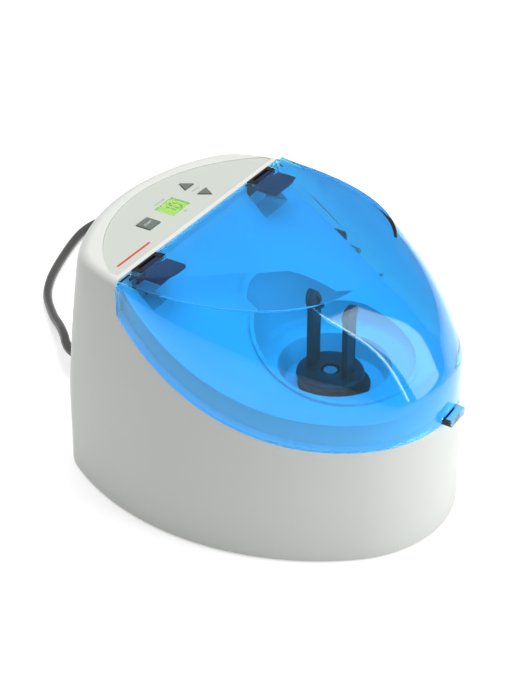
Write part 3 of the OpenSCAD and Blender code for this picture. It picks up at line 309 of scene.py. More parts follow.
def block(low, high):
    """A box between two corners in mm, to cut or to join."""
    bm = bmesh.new()
    bmesh.ops.create_cube(bm, size=1.0)
    size, middle = (Vector(high) - Vector(low)) * MM, (Vector(high) + Vector(low)) * MM / 2
    bmesh.ops.scale(bm, vec=size, verts=bm.verts)
    bmesh.ops.translate(bm, vec=middle, verts=bm.verts)
    return piece_from(bm, "tool", BLACK, smooth=False)


def rod(start, end, radius, segments=64):
    """A round bar between two points in mm, to cut with."""
    a, b = Vector(start) * MM, Vector(end) * MM
    bm = bmesh.new()
    bmesh.ops.create_cone(bm, cap_ends=True, segments=segments, radius1=radius * MM, radius2=radius * MM,
                          depth=(b - a).length)
    turn = (b - a).to_track_quat("Z", "Y").to_matrix().to_4x4()
    bmesh.ops.transform(bm, matrix=Matrix.Translation((a + b) / 2) @ turn, verts=bm.verts)
    return piece_from(bm, "tool", BLACK)


def extruded(points, shift, name="tool", material=BLACK):
    """A flat outline in mm, drawn out by shift."""
    bm = bmesh.new()
    face = bm.faces.new([bm.verts.new(Vector(p) * MM) for p in points])
    grown = bmesh.ops.extrude_face_region(bm, geom=[face])["geom"]
    bmesh.ops.translate(bm, vec=Vector(shift) * MM,
                        verts=[v for v in grown if isinstance(v, bmesh.types.BMVert)])
    bmesh.ops.recalc_face_normals(bm, faces=bm.faces[:])
    return piece_from(bm, name, material, smooth=False)


def spun(profile, centre, name, material, steps=96):
    """A closed profile of (radius, height) in mm, spun about an upright axis."""
    bm = bmesh.new()
    verts = [bm.verts.new(Vector((r, 0, z)) * MM) for r, z in profile]
    edges = [bm.edges.new((verts[i], verts[(i + 1) % len(verts)])) for i in range(len(verts))]
    bmesh.ops.spin(bm, geom=verts + edges, cent=(0, 0, 0), axis=(0, 0, 1), angle=2 * math.pi, steps=steps,
                   use_merge=True)
    bmesh.ops.remove_doubles(bm, verts=bm.verts, dist=0.00001)
    bmesh.ops.translate(bm, vec=Vector(centre) * MM, verts=bm.verts)
    bmesh.ops.recalc_face_normals(bm, faces=bm.faces[:])
    return piece_from(bm, name, material)


def joined(pieces, name):
    """Several pieces as one, each keeping its own closed mesh."""
    bm = bmesh.new()
    for piece in pieces:
        shown = piece.evaluated_get(bpy.context.evaluated_depsgraph_get())
        bm.from_mesh(shown.to_mesh())
        shown.to_mesh_clear()
    whole = piece_from(bm, name, pieces[0].data.materials[0])
    for piece in pieces:
        bpy.data.objects.remove(piece)
    return whole


# Outline of the body, in mm
BODY_W, BODY_L, BODY_H, WALL = 210.0, 270.0, 178.0, 3.0
NOSE_R, SIDE_R, CORNER_R, BACK_R = 81.0, 185.0, 35.0, 150.0
SHOULDER_SIDE, SHOULDER_BACK, SKIRT = 6.0, 8.0, 0.8
BACK_TUCK, TUCK_Z = 15.0, 55.0
SEAM_GAP = 0.6
DECK_RISE, DECK_STEP, DECK_TOP = 15.0, 10.0, 260
BACK_Y, HINGE_Y, WELL_Y, FORK_Y = NOSE_Y + BODY_L, NOSE_Y + 186.5, NOSE_Y + 85.5, NOSE_Y + 88.5
SEAM_Y0, LID_BACK_Y = NOSE_Y + SEAM_LEVEL, HINGE_Y - 1.7
PIN_Y, PIN_Z = LID_BACK_Y - 2.8, BODY_H - 2.6
LEAN = math.tan(math.radians(1.0))
OVERLAY_TOP = BODY_H - 0.5
# The wall's upper part leans in as this power of its height
TUCK_POWER = 1.3
# Reach of the tools that cut along the seam, and of those that cut behind a plane
SEAM_X, SEAM_REACH = 150, 400
BEHIND_X, BEHIND_Y, BEHIND_Z = 200, 300, 400


def sind(a):
    return math.sin(math.radians(a))


def cosd(a):
    return math.cos(math.radians(a))


HEAD1 = math.degrees(math.asin((BODY_W / 2 - SIDE_R) / (NOSE_R - SIDE_R)))


def head3(h2):
    """Heading where the back corner meets the back."""
    run = (NOSE_R - SIDE_R) * sind(HEAD1) + (SIDE_R - CORNER_R) * sind(h2)
    return 180 - math.degrees(math.asin(run / (BACK_R - CORNER_R)))


def depth_at(h2):
    """Depth of the body whose back corner starts at this heading."""
    h3 = head3(h2)
    return (NOSE_R * (1 - cosd(HEAD1)) + SIDE_R * (cosd(HEAD1) - cosd(h2))
            + CORNER_R * (cosd(h2) - cosd(h3)) + BACK_R * (cosd(h3) + 1))


def corner_head(depth):
    """Heading where the side meets the back corner, for a body of some depth."""
    low, high = 100.0, 135.0
    for _ in range(40):
        mid = (low + high) / 2
        low, high = (mid, high) if depth_at(mid) < depth else (low, mid)
    return (low + high) / 2


HEAD2, TOP_HEAD2 = corner_head(BODY_L), corner_head(BODY_L - BACK_TUCK)
HEAD3, TOP_HEAD3 = head3(HEAD2), head3(TOP_HEAD2)


def plan(h, h2=HEAD2, h3=HEAD3):
    """Point of the foot's outline where it heads h degrees from the nose's tangent."""
    x, y = 0.0, NOSE_Y
    for radius, a, b in ((NOSE_R, 0, HEAD1), (SIDE_R, HEAD1, h2), (CORNER_R, h2, h3), (BACK_R, h3, 180)):
        if h > a:
            end = min(h, b)
            x += radius * (sind(end) - sind(a))
            y += radius * (cosd(a) - cosd(end))
    return x, y


def inward(h, d):
    """Point of the outline drawn in by d."""
    x, y = plan(h)
    return x - d * sind(h), y + d * cosd(h)


def leaned(h, d, z):
    """The same on the wall at height z, whose upper part leans in at the back."""
    share = (max(z - TUCK_Z, 0) / (BODY_H - TUCK_Z)) ** TUCK_POWER
    (x, y), (x0, y0), (x1, y1) = inward(h, d), plan(h), plan(h, TOP_HEAD2, TOP_HEAD3)
    return x + (x1 - x0) * share, y + (y1 - y0) * share, z


def mirrored(half):
    """Half a ring and its other half, without doubling the points on the middle."""
    return half + [(-x, y, z) for x, y, z in reversed(half) if abs(x) > 0.001]


def seam_at(y):
    """Height of the seam."""
    return SEAM_Z if y < SEAM_Y0 else SEAM_Z + SEAM_R - math.sqrt(SEAM_R ** 2 - (y - SEAM_Y0) ** 2)


def spread(a, b, n):
    return [a + (b - a) * i / n for i in range(n)]


HEADS = (spread(0, HEAD1, 26) + spread(HEAD1, TOP_HEAD2, 32) + spread(TOP_HEAD2, HEAD3, 24)
         + spread(HEAD3, 180, 14) + [180])


def outline(d, z):
    return mirrored([(*inward(h, d), z) for h in HEADS])


def shoulder(h):
    """Radius of the rounded top edge, which grows towards the back."""
    s = min(max((plan(h)[1] - HINGE_Y) / (BACK_Y - HINGE_Y), 0), 1)
    return SHOULDER_SIDE + (SHOULDER_BACK - SHOULDER_SIDE) * s * s * (3 - 2 * s)


# Levels of the wall above TUCK_Z, a share of its height apart
WALL_LEVELS, WALL_STEP = 10, 0.09


def body_rings(d, z0):
    """Rings of the housing's outer skin (d = 0) or of its hollow."""
    foot = [(0.9, 0), (0.25, 0.4), (0, 1.2)] if d == 0 else [(d, 0)]
    rings = [mirrored([leaned(h, inset + z0 * LEAN, z0 + rise) for h in HEADS]) for inset, rise in foot]
    for k in range(WALL_LEVELS):
        z = TUCK_Z + (BODY_H - TUCK_Z) * WALL_STEP * k
        rings.append(mirrored([leaned(h, d + z * LEAN, z) for h in HEADS]))
    for a in range(0, 91, 9):
        ring = []
        for h in HEADS:
            r = max(shoulder(h) - d, 1)
            ring.append(leaned(h, d + BODY_H * LEAN + r * (1 - cosd(a)), BODY_H - d - r * (1 - sind(a))))
        rings.append(mirrored(ring))
    return rings


def over_seam(rise, back):
    """Everything over the lifted seam and in front of a plane."""
    points = [(-SEAM_X, -SEAM_REACH, SEAM_Z + rise)]
    points += [(-SEAM_X, y, seam_at(y) + rise) for y in spread(SEAM_Y0, back, 60) + [back]]
    points += [(-SEAM_X, back, SEAM_REACH), (-SEAM_X, -SEAM_REACH, SEAM_REACH)]
    return extruded(points, (2 * SEAM_X, 0, 0))


def behind(y):
    """Everything behind a plane."""
    return block((-BEHIND_X, y, 0), (BEHIND_X, BEHIND_Y, BEHIND_Z))


def deck_block(d, rise, back):
    """The raised deck under the lid, drawn in by d, up to a plane."""
    body = skin("deck", [outline(d, SEAM_Z - WALL - 1), outline(d, DECK_TOP)], WHITE)
    carve(body, over_seam(rise, back + 1))
    return carve(body, behind(back))


# Lead, coil and plug first
def spline_point(p, i, t):
    """A point of the smooth curve through p, t of the way from point i to the next."""
    a, b, c, d = (Vector(p[k]) for k in (max(i - 1, 0), i, i + 1, min(i + 2, len(p) - 1)))
    return 0.5 * (2 * b + (c - a) * t + (2 * a - 5 * b + 4 * c - d) * t * t
                  + (3 * b - a - 3 * c + d) * t ** 3)


def smoothed(p, n):
    return [spline_point(p, i, k / n) for i in range(len(p) - 1) for k in range(n)] + [Vector(p[-1])]


# LIE is the height of the lead's middle where it lies on the table
CORD_D, RELIEF_L, GLAND_X, GLAND_Z, LIE = 7.0, 28.0, 8.0, 20.0, 3.6
COIL_X, COIL_Y, COIL_R, COIL_TURNS, COIL_PITCH, COIL_LIFT = 196.0, 205.0, 42.0, 5, 7.8, 1.4
PLUG_X, PLUG_Y, PLUG_L, PLUG_MID = 238.0, 74.0, 44.0, 13.0
GLAND_R = 9.0
GLAND_Y = BACK_Y - (BACK_R - math.sqrt(BACK_R ** 2 - (GLAND_X + GLAND_R) ** 2)) - GLAND_Z * LEAN - 0.1
NUT_Y = GLAND_Y - WALL - 0.1
RELIEF_Y, LEAD_END = BACK_Y + RELIEF_L, PLUG_Y + PLUG_L + 14
COIL_Z0 = LIE + COIL_LIFT
COIL_TOP = COIL_Z0 + COIL_PITCH * COIL_TURNS
FIRST_BEND = 34.0
cord_points = [(GLAND_X, y, GLAND_Z) for y in (NUT_Y - 8, BACK_Y + 14, RELIEF_Y + 2)]
cord_points += [(GLAND_X + FIRST_BEND * (1 - cosd(a)), RELIEF_Y + 2 + FIRST_BEND * sind(a), GLAND_Z)
                for a in (15, 30, 45)]
cord_points += [
    (24.5, 198, 19.6), (31, 205, 18.3), (39, 214, 15.8), (50, 227.5, 12), (62.5, 241, 8.4),
    (74.5, 253, 5.6), (86, 262.5, LIE + 0.4), (97, 269.5, LIE), (109, 275.5, LIE), (124, 281.5, LIE),
    (140, 287, LIE), (156, 292, LIE), (170, 295.5, LIE), (183, 297, LIE), (196, 295.5, LIE),
    (209, 290, LIE), (221, 280, LIE), (230.5, 265.5, LIE), (236, 247, LIE), (238, 228, LIE + 0.7),
    (238, 205, COIL_Z0)]
COIL_STEPS = 24
COIL_TURN = 360 / COIL_STEPS
coil_points = [Vector((COIL_X + COIL_R * cosd(COIL_TURN * i), COIL_Y - COIL_R * sind(COIL_TURN * i),
                       COIL_Z0 + COIL_PITCH * i / COIL_STEPS))
               for i in range(COIL_STEPS * COIL_TURNS + 1)]
lead_points = [
    (238, 205, COIL_TOP), (238, 190, COIL_TOP - 1), (238, 173, COIL_TOP - 7), (238, 157, COIL_TOP - 17),
    (238, LEAD_END + 10, PLUG_MID + 0.6), (238, LEAD_END + 1, PLUG_MID), (238, LEAD_END - 10, PLUG_MID),
    (238, PLUG_Y + PLUG_L - 12, PLUG_MID)]
route = smoothed(cord_points, 6) + coil_points[1:] + smoothed(lead_points, 6)[1:]
lead_length = sum((b - a).length for a, b in zip(route, route[1:])) * MM
curve = bpy.data.curves.new("mains_lead", "CURVE")
curve.dimensions, curve.use_fill_caps = "3D", True
curve.bevel_depth, curve.bevel_resolution = CORD_D / 2 * MM, 5
strand = curve.splines.new("POLY")
strand.points.add(len(route) - 1)
for knot, spot in zip(strand.points, route):
    knot.co = (*(spot * MM), 1)
strand.use_smooth = True
mains_lead = bpy.data.objects.new("mains_lead", curve)
bpy.context.scene.collection.objects.link(mains_lead)
curve.materials.append(CORD)


def along_y(profile, place, name, material, steps=64):
    """A (radius, distance) profile in mm, spun about a level axis that runs back from place."""
    piece = spun([(r, d) for r, d in profile], (0, 0, 0), name, material, steps)
    turn = Matrix.Translation(Vector(place) * MM) @ Matrix.Rotation(-math.pi / 2, 4, "X")
    piece.data.transform(turn)
    return piece


RELIEF_R, RELIEF_TIP_R, GROOVE_R, BORE_R = 6.2, 4.5, 4.35, 3.56
GROOVES, FIRST_GROOVE, GROOVE_PITCH = 4, 7, 5


def taper(d):
    return RELIEF_R - (RELIEF_R - RELIEF_TIP_R) * d / RELIEF_L


def relief_profile():
    """Tapered sleeve with grooves, hollow for the lead."""
    outer = [(RELIEF_R - 0.2, 0), (RELIEF_R, 0.6)]
    for k in range(GROOVES):
        d = FIRST_GROOVE + GROOVE_PITCH * k
        outer += [(taper(d - 0.4), d - 0.4), (taper(d) - 0.3, d), (GROOVE_R, d + 0.25), (GROOVE_R, d + 1.35),
                  (taper(d) - 0.3, d + 1.6), (taper(d + 2), d + 2.0)]
    return outer + [(4.55, RELIEF_L - 0.5), (4.2, RELIEF_L), (BORE_R, RELIEF_L), (BORE_R, 0)]


relief = along_y(relief_profile(), (GLAND_X, BACK_Y, GLAND_Z), "relief_sleeve", RUBBER, 48)
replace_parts(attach(relief, "base"), "strain_relief")


# Sections along the plug: distance from its face, width, height and corner radius
PLUG_SECTIONS = [
    (0, 33, 24, 11.5), (0.9, 34.6, 25.6, 12.6), (3, 35, 26, 13), (22, 35, 26, 13), (25, 34, 25.4, 12.7),
    (27, 30, 23, 11.4), (34, 22, 18, 9), (44, 13.4, 13.4, 6.7), (50, 10.6, 10.6, 5.3), (57, 9.2, 9.2, 4.6),
    (58, 8.4, 8.4, 4.2)]
PLUG_STEPS, PIN_X, PIN_HOLE_R = 48, 9.5, 2.45


def plug_shell():
    """Rounded two-pin plug: flat-sided front, waist, tapering tail."""
    rings = []
    for d, w, h, r in PLUG_SECTIONS:
        ring = []
        for i in range(PLUG_STEPS):
            a = 360 * i / PLUG_STEPS
            x, z = cosd(a), sind(a)
            side = max(w / 2 - r, 0)
            ring.append((PLUG_X + r * x + math.copysign(side, x) * (abs(x) > 0.001), PLUG_Y + d,
                         PLUG_MID + h / 2 * z))
        rings.append(ring)
    body = skin("plug_shell", rings, RUBBER)
    carve(body, rod((PLUG_X, PLUG_Y + PLUG_L - 12, PLUG_MID), (PLUG_X, PLUG_Y + 80, PLUG_MID),
                    CORD_D / 2 + 0.05))
    for s in (-1, 1):
        x = PLUG_X + PIN_X * s
        carve(body, rod((x, PLUG_Y - 2, PLUG_MID), (x, PLUG_Y + 8, PLUG_MID), PIN_HOLE_R))
    return edged(body, 0.4, 2, 50)


plug = plug_shell()
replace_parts(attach(plug, "base"), "plug_body")
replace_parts(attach(mains_lead, "base"), "mains_cord", "cord_coil", "plug_lead")
for node, material in (("cord_tie", BLACK_MATT), ("plug_pins", BRASS)):
    NODES[node].data.materials.clear()
    NODES[node].data.materials.append(material)


# Housing
# Rear fittings; each seat is a shallow recess with a hole of its own through the wall
SWITCH_Z, FUSE_Z = 72.0, 44.0
SWITCH_SEAT, SWITCH_HOLE = (8.55, 11.55), (6.55, 9.55)
FUSE_SEAT_R, FUSE_HOLE_R, GLAND_HOLE_R, PLUNGER_HOLE_R = 8.05, 6.05, 6.55, 2.28
SWITCH_Y = leaned(180, SWITCH_Z * LEAN, SWITCH_Z)[1] - 0.9
FUSE_Y = BACK_Y - FUSE_Z * LEAN - 0.9
ROW_Y = HINGE_Y + 24
HINGE_X, HINGE_W, POCKET_Z, POCKET_D = 67.0, 26.0, BODY_H - 24, 20.0
PLUNGER_Z = BODY_H - 18
WELL_R = 55.0
# Panel: the start key sits as far left as the arrow keys sit right
KEY_X, ARROW_Y, ARROW_W, ARROW_D, KEY_GAP = 27.5, 9, 5, 4, 0.35
WINDOW_HOLE, START_HOLE, PANEL_CUT_Z = (20.5, 15.6), (12.7, 11.4), 172


def pockets(grow):
    """The two pockets of the deck that the hinges sit in."""
    half = HINGE_W / 2 + 1 + grow
    parts = [block((s * HINGE_X - half, HINGE_Y - POCKET_D - grow, POCKET_Z - grow),
                   (s * HINGE_X + half, HINGE_Y, 300))
             for s in (-1, 1)]
    return joined(parts, "tool")


PANEL_R, PANEL_HALF = 114, 90


def overlay_outline(grow, z):
    """The panel's crescent: a straight front edge, short sides and a long arc behind."""
    y0, r, half = HINGE_Y + 3.5 - grow, PANEL_R + grow, PANEL_HALF + grow
    cy = BACK_Y - 30.5 - PANEL_R
    reach = min(half, math.sqrt(r ** 2 - (y0 - cy) ** 2))
    points = [(-reach, y0, z), (reach, y0, z)]
    a0 = math.degrees(math.acos(reach / r))
    return points + [(r * cosd(a), cy + r * sind(a), z) for a in spread(a0, 180 - a0, 60) + [180 - a0]]


def arrow(y, up, grow, z):
    """An arrow key's triangle, drawn out by grow."""
    slope = math.degrees(math.atan2(2 * ARROW_D, ARROW_W))
    w, tip = ARROW_W + grow / math.tan(math.radians(slope / 2)), ARROW_D + grow / cosd(slope)
    s = 1 if up else -1
    foot = y - s * (ARROW_D + grow)
    points = [(KEY_X - w, foot, z), (KEY_X + w, foot, z), (KEY_X, y + s * tip, z)]
    return points if up else points[::-1]


def square(x, y, w, d, z):
    return [(x + sx * w / 2, y + sy * d / 2, z) for sx, sy in ((-1, -1), (1, -1), (1, 1), (-1, 1))]


def housing_shell():
    shell = skin("housing_shell", body_rings(0, SKIRT), WHITE)
    carve(shell, over_seam(0, HINGE_Y))
    carve(shell, deck_block(DECK_STEP, DECK_RISE, HINGE_Y + 1), "UNION")
    hollow = skin("tool", body_rings(WALL, SKIRT - 1), WHITE)
    carve(hollow, over_seam(-WALL, HINGE_Y + WALL))
    carve(shell, hollow)
    deck_hollow = deck_block(DECK_STEP + WALL, DECK_RISE - WALL, HINGE_Y)
    carve(deck_hollow, pockets(2))
    carve(shell, deck_hollow)
    shelves = pockets(0)
    carve(shelves, over_seam(-1, HINGE_Y), "INTERSECT")
    carve(shell, shelves)
    carve(shell, rod((0, WELL_Y, 82), (0, WELL_Y, 300), WELL_R + 0.05, segments=128))
    carve(shell, extruded(overlay_outline(0.2, OVERLAY_TOP - 0.8), (0, 0, 5)))
    for shape in (square(0, ROW_Y, *WINDOW_HOLE, PANEL_CUT_Z), square(-KEY_X, ROW_Y, *START_HOLE, PANEL_CUT_Z),
                  arrow(ROW_Y + ARROW_Y, True, KEY_GAP, PANEL_CUT_Z),
                  arrow(ROW_Y - ARROW_Y, False, KEY_GAP, PANEL_CUT_Z)):
        carve(shell, extruded(shape, (0, 0, 10)))
    for (half_w, half_h), start in ((SWITCH_SEAT, 0), (SWITCH_HOLE, 10)):
        carve(shell, block((-half_w, SWITCH_Y - start, SWITCH_Z - half_h),
                           (half_w, SWITCH_Y + 10, SWITCH_Z + half_h)))
    for x, y, z, seat_r, hole_r in ((0, FUSE_Y, FUSE_Z, FUSE_SEAT_R, FUSE_HOLE_R),
                                    (GLAND_X, GLAND_Y, GLAND_Z, GLAND_R + 0.05, GLAND_HOLE_R)):
        carve(shell, rod((x, y, z), (x, y + 10, z), seat_r))
        carve(shell, rod((x, y - 10, z), (x, y + 10, z), hole_r))
    carve(shell, rod((-HINGE_X, HINGE_Y - 5, PLUNGER_Z), (-HINGE_X, HINGE_Y + 10, PLUNGER_Z),
                     PLUNGER_HOLE_R))
    return shell


housing = edged(housing_shell(), 0.8, 3, 34)
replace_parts(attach(housing, "base"), "housing")


# Lid
LID_T, LID_TAIL, BAND_NOSE, BAND_BACK, LID_SWELL = 2.6, 8.0, 32.0, 18.0, 9.0
TOP_IN_NOSE, TOP_IN_BACK, TOP_POWER = 58.0, 6.0, 2.4
# Share of the wall's thickness that the inner skin's crease drops and its flat top draws in
CREASE_DROP, TOP_DRAW = 0.4, 0.7
# The slope swells outward and upward, less so towards the back, along a heading that turns with u
SWELL_OUT, SWELL_UP, SWELL_LESS, SWELL_TURN = 0.6, 0.8, 0.7, 108
TAB_HALF, TAB_REACH, TAB_H = 9, 5, 5
TOP_FALL = math.tan(math.radians(1.3))
SIDE_MID_Y = plan(90)[1]
LID_N = 56


def end_head(d):
    """Heading at which the outline drawn in by d meets the lid's back edge."""
    return math.degrees(math.acos((SIDE_MID_Y - LID_BACK_Y) / (SIDE_R - d)))


def upright_point(u, d, rise):
    """A point of the upright band, some way above the seam."""
    z_end = seam_at(LID_BACK_Y) + rise
    h = u * end_head(z_end * LEAN + d)
    z = seam_at(plan(h)[1]) + rise
    return Vector((*inward(h, z * LEAN + d), z))


def crease_point(u, d):
    """Upper edge of the band, u of the way from the nose to the hinge line."""
    return upright_point(u, d + 0.6, BAND_NOSE + (BAND_BACK - BAND_NOSE) * u - CREASE_DROP * d)


def top_point(u, d):
    """Edge of the flat top: a flattened ellipse."""
    v = 90 * u ** 1.3
    half = inward(end_head(0), TOP_IN_BACK)[0] - TOP_DRAW * d
    long = LID_BACK_Y - NOSE_Y - TOP_IN_NOSE - TOP_DRAW * d
    y = LID_BACK_Y - long * max(cosd(v), 0) ** (2 / TOP_POWER)
    return Vector((half * max(sind(v), 0) ** (2 / TOP_POWER), y, BODY_H - (LID_BACK_Y - y) * TOP_FALL - d))


def between(a, b, t, u):
    """A point of the slope, t of the way up from the crease to the flat top."""
    p, s, h = a + (b - a) * t, LID_SWELL * sind(180 * t) * (1 - SWELL_LESS * u), SWELL_TURN * u
    return Vector((p.x + SWELL_OUT * s * sind(h), p.y - SWELL_OUT * s * cosd(h), p.z + SWELL_UP * s))


def lid_ring(t, d):
    """A ring of the lid's skin: the seam's edge where t < 0, else a level of the slope."""
    half = []
    for i in range(LID_N + 1):
        u = i / LID_N
        half.append(upright_point(u, d, SEAM_GAP) if t < 0
                    else between(crease_point(u, d), top_point(u, d), t, u))
    more = LID_TAIL - 1.5 * d
    last = half[-1]
    half.append(Vector((last.x, last.y + more, last.z + more * TOP_FALL)))
    return mirrored([tuple(p) for p in half])


def lid_skin(d):
    return [lid_ring(t, d) for t in [-1, 0, 0.12, 0.25, 0.4, 0.55, 0.7, 0.85, 1]]


def lid_shell():
    inside, outside = lid_skin(LID_T), lid_skin(0)
    n = len(inside)
    shell = skin("lid_shell", inside[::-1] + outside, BLUE, mark=[(n + 1, 3.0, 4), (2 * n - 1, 2.6, 4)])
    carve(shell, behind(LID_BACK_Y))
    notch = HINGE_W / 2 + 0.5
    for s in (-1, 1):
        carve(shell, block((s * HINGE_X - notch, PIN_Y - 2.9, PIN_Z - 5),
                           (s * HINGE_X + notch, PIN_Y + 20, PIN_Z + 15)))
    tab_z = SEAM_Z + SEAM_GAP
    tab = block((-TAB_HALF, NOSE_Y - TAB_REACH, tab_z),
                (TAB_HALF, NOSE_Y + tab_z * LEAN + LID_T / 2, tab_z + TAB_H))
    carve(shell, tab, "UNION")
    return shell


lid = edged(lid_shell(), 0.6, 2, 40)
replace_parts(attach(lid, "lid"), "lid")


# Well and fork
# Radius and height along the stepped bowl's section, outside first
WELL_SECTION = [
    (20, 79.5), (36.5, 79.5), (39.5, 95.5), (52, 95.5), (WELL_R, 101), (WELL_R, 176), (53.1, 176),
    (52.5, 175.4), (52.5, 102.5), (51.6, 100.4), (50.2, 98.9), (48.3, 98), (38, 98), (37.2, 97.6),
    (36.8, 96.8), (34.3, 83.4), (33.6, 82.4), (32.4, 82), (20, 82)]
# The same for the fork's ring
FORK_SECTION = [
    (2, 87), (17, 87), (19.5, 87), (20.9, 87.4), (22.0, 88.4), (22.5, 90), (22.0, 91.6), (20.9, 92.6),
    (19.5, 93), (8.2, 93), (7.2, 92.7), (6.6, 92), (6.5, 91), (6.5, 89), (2, 89)]
# Prongs: half width, foot, distance from the middle, thickness, and the round eye with its dimple
PRONG_HALF, PRONG_Z, PRONG_OFF, PRONG_T = 5.5, 88, 11, 4
EYE_Z, EYE_R, EYE_FOOT, DIMPLE_R = 139, 7, 134.5, 4.5


def well_bowl():
    bowl = spun(WELL_SECTION, (0, WELL_Y, 0), "well_bowl", WELL, 128)
    carve(bowl, over_seam(DECK_RISE + 2, HINGE_Y + 40))
    return bowl


well = edged(well_bowl(), 0.7, 3, 34)
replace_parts(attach(well, "base"), "mixing_well")


def fork():
    """Ring with two prongs that hold the capsule between their eyes."""
    ring = spun(FORK_SECTION, (0, FORK_Y, 0), "capsule_holder", BLACK, 96)
    blade = [(-PRONG_HALF, PRONG_Z), (PRONG_HALF, PRONG_Z), (PRONG_HALF, EYE_FOOT)]
    blade += [(EYE_R * cosd(a), EYE_Z + EYE_R * sind(a)) for a in range(-35, 216, 10)]
    blade.append((-PRONG_HALF, EYE_FOOT))
    for s in (-1, 1):
        y0 = FORK_Y + (PRONG_OFF if s > 0 else -PRONG_OFF - PRONG_T)
        inner = y0 if s > 0 else y0 + PRONG_T
        prong = extruded([(x, y0, z) for x, z in blade], (0, PRONG_T, 0))
        carve(prong, rod((0, inner - 1, EYE_Z), (0, inner + 1, EYE_Z), DIMPLE_R))
        carve(ring, prong, "UNION")
    return ring


holder = edged(fork(), 0.6, 3, 38)
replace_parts(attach(holder, "shaker"), "capsule_fork")


# Panel marks and display digits
# Thickness of the printed marks and of the digits' bars, and how deep the digits lie below the panel
MARK_T, BAR_T, DIGITS_DOWN = 0.05, 0.06, 1.685


def lettering(text, place, size, material, name):
    """Flat words, centred on a place in mm."""
    words = bpy.data.curves.new(name, "FONT")
    words.body, words.size, words.extrude = text, size * MM, MARK_T / 2 * MM
    words.align_x, words.align_y = "CENTER", "CENTER"
    flat = bpy.data.objects.new(name, words)
    bpy.context.scene.collection.objects.link(flat)
    bpy.context.view_layer.update()
    mesh = bpy.data.meshes.new_from_object(flat.evaluated_get(bpy.context.evaluated_depsgraph_get()))
    bpy.data.objects.remove(flat)
    mesh.transform(Matrix.Translation((Vector(place) + Vector((0, 0, MARK_T / 2))) * MM))
    mesh.materials.clear()
    mesh.materials.append(material)
    marks = bpy.data.objects.new(name, mesh)
    bpy.context.scene.collection.objects.link(marks)
    return marks


def segment(x, y, w, d, z):
    """One bar of a digit, with pointed ends."""
    long = w >= d
    a, b = (w / 2, d / 2) if long else (d / 2, w / 2)
    points = [(-a, 0), (-a + b, -b), (a - b, -b), (a, 0), (a - b, b), (-a + b, b)]
    if not long:
        points = [(-v, u) for u, v in points]
    return extruded([(x + u, y + v, z) for u, v in points], (0, 0, BAR_T), material=SEGMENT)


# Bars of a digit: middle, width and depth
BAR_L, BAR_H, BAR_W, BAR_X, BAR_Y, DIGIT_X = 3.4, 3.8, 0.8, 2.0, 2.2, 3.6
BARS = {
    "a": (0, 2 * BAR_Y, BAR_L, BAR_W), "b": (BAR_X, BAR_Y, BAR_W, BAR_H), "c": (BAR_X, -BAR_Y, BAR_W, BAR_H),
    "d": (0, -2 * BAR_Y, BAR_L, BAR_W), "e": (-BAR_X, -BAR_Y, BAR_W, BAR_H), "f": (-BAR_X, BAR_Y, BAR_W, BAR_H),
}


def digits(z):
    """The number ten on the display."""
    parts = []
    for x, lit in ((-DIGIT_X, "bc"), (DIGIT_X, "abcdef")):
        for bar in lit:
            u, v, w, d = BARS[bar]
            parts.append(segment(x + u, ROW_Y + v, w, d, z))
    return joined(parts, "display_digits")


def base_piece(piece):
    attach(piece, "base")


base_piece(digits(OVERLAY_TOP - DIGITS_DOWN))
for words, x, y, name in (("WORK TIME", 0, 10.2, "mark_work_time"), ("SEC", 0, -10.6, "mark_seconds"),
                          ("TIME SET", KEY_X, 0, "mark_time_set")):
    base_piece(lettering(words, (x, ROW_Y + y, OVERLAY_TOP), 2.1, GREY_INK, name))
stripe = extruded([(x, y, OVERLAY_TOP) for x, y in ((-81, 63.2), (-46, 63.2), (-46, 64.8), (-81, 64.8))],
                  (0, 0, MARK_T), "accent_stripe", RED_INK)
base_piece(stripe)
start_mark = lettering("START", (-KEY_X, ROW_Y, BODY_H + 0.3), 2.6, WHITE_INK, "mark_start")
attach(start_mark, "start_key")

# Finishes of the CAD pieces
FINISH = {
    BASE: ["base_plate", "board_spacers"],
    RUBBER: ["rubber_feet", "rubber_boot", "vibration_mounts"],
    STEEL: ["base_screws", "board_screws", "fork_screw", "motor_screws", "mount_screws", "hinge_pins",
            "motor_shaft", "arm_outer_race", "arm_inner_race", "shaft_bearings", "return_spring_front",
            "return_spring_rear"],
    PANEL: ["control_overlay"],
    CLEAR: ["lcd_window"],
    GREEN: ["display_module"],
    BOARD: ["control_board", "power_board"],
    NAVY: ["hinge_arms"],
    BLACK: ["tact_switches", "hinge_brackets", "lid_switch", "switch_frame", "fuse_holder"],
    BLACK_MATT: ["fuse_cap", "cord_gland", "motor_fan"],
    KEY: ["start_key", "up_key", "down_key"],
    RED: ["switch_rocker", "switch_plunger"],
    ALLOY: ["shaker_arm", "end_bells"],
    SHEET: ["motor_chassis"],
    BRASS: ["oblique_sleeve", "balance_weight"],
    CORE: ["rotor_core", "transformer_core"],
    CAN: ["motor_can"],
    WINDING: ["transformer_winding"],
}
for material, names in FINISH.items():
    for name in names:
        mesh = NODES[name].data
        mesh.materials.clear()
        mesh.materials.append(material)

# Table, light and background
# The table glows a little to rays that see it, so that it stays white while it keeps the shadow
TABLE_GLOW = 0.45
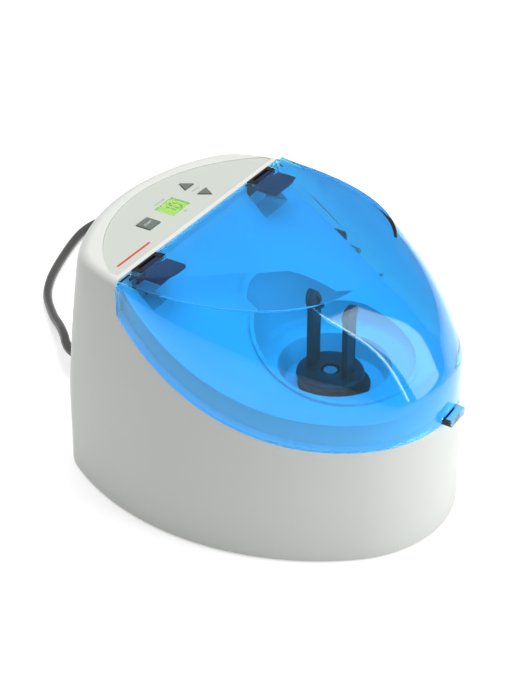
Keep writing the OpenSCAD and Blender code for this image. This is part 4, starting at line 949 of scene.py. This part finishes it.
# Strength of the world as light; what the camera and the clear walls see of it is white
ROOM_LIGHT = 0.27
bm = bmesh.new()
bmesh.ops.create_grid(bm, x_segments=2, y_segments=2, size=5.0)
table_top = piece_from(bm, "table_top", WHITE, smooth=False)
cloth = Paint("table_white", Roughness=0.85)
seen = cloth.add("LightPath", output="Is Camera Ray")
shine = cloth.add("LightPath", output="Is Glossy Ray")
inside = cloth.add("LightPath", output="Is Transmission Ray")
cloth.drive(Base_Color=cloth.mix(cloth.noise(2.0), (0.80, 0.80, 0.80, 1), (0.82, 0.82, 0.82, 1)))
cloth.shader.inputs["Emission Color"].default_value = (1, 1, 1, 1)
cloth.drive(Emission_Strength=(seen + shine + inside).clamp(0.0, 1.0) * TABLE_GLOW)
table_top.data.materials.clear()
table_top.data.materials.append(cloth.material)

world = bpy.data.worlds.new("studio")
bpy.context.scene.world = world
world.use_nodes = True
sky, back = world.node_tree.nodes, world.node_tree.links
path = sky.new("ShaderNodeLightPath")
shown = sky.new("ShaderNodeMath")
shown.operation, shown.use_clamp = "ADD", True
back.new(path.outputs["Is Camera Ray"], shown.inputs[0])
back.new(path.outputs["Is Transmission Ray"], shown.inputs[1])
level = sky.new("ShaderNodeMath")
level.operation = "MULTIPLY_ADD"
back.new(shown.outputs[0], level.inputs[0])
level.inputs[1].default_value, level.inputs[2].default_value = 1 - ROOM_LIGHT, ROOM_LIGHT
sky["Background"].inputs["Color"].default_value = (1, 1, 1, 1)
back.new(level.outputs[0], sky["Background"].inputs["Strength"])


def softbox(name, place, size, power):
    """An area lamp aimed at the middle of the object."""
    lamp = bpy.data.lights.new(name, "AREA")
    lamp.shape, lamp.size, lamp.size_y, lamp.energy = "RECTANGLE", size[0], size[1], power
    box = bpy.data.objects.new(name, lamp)
    bpy.context.scene.collection.objects.link(box)
    box.location = place
    box.rotation_euler = (Vector(place) - Vector((0, 0, 0.1))).to_track_quat("Z", "Y").to_euler()


softbox("softbox_front", (0.5, -1.6, 0.95), (1.0, 1.8), 20)
softbox("softbox_edge", (-0.08, -1.65, 0.95), (0.05, 1.8), 2.6)
softbox("softbox_top", (0.1, 0.2, 1.7), (1.2, 1.0), 19)

bpy.context.scene.view_settings.view_transform = "Standard"
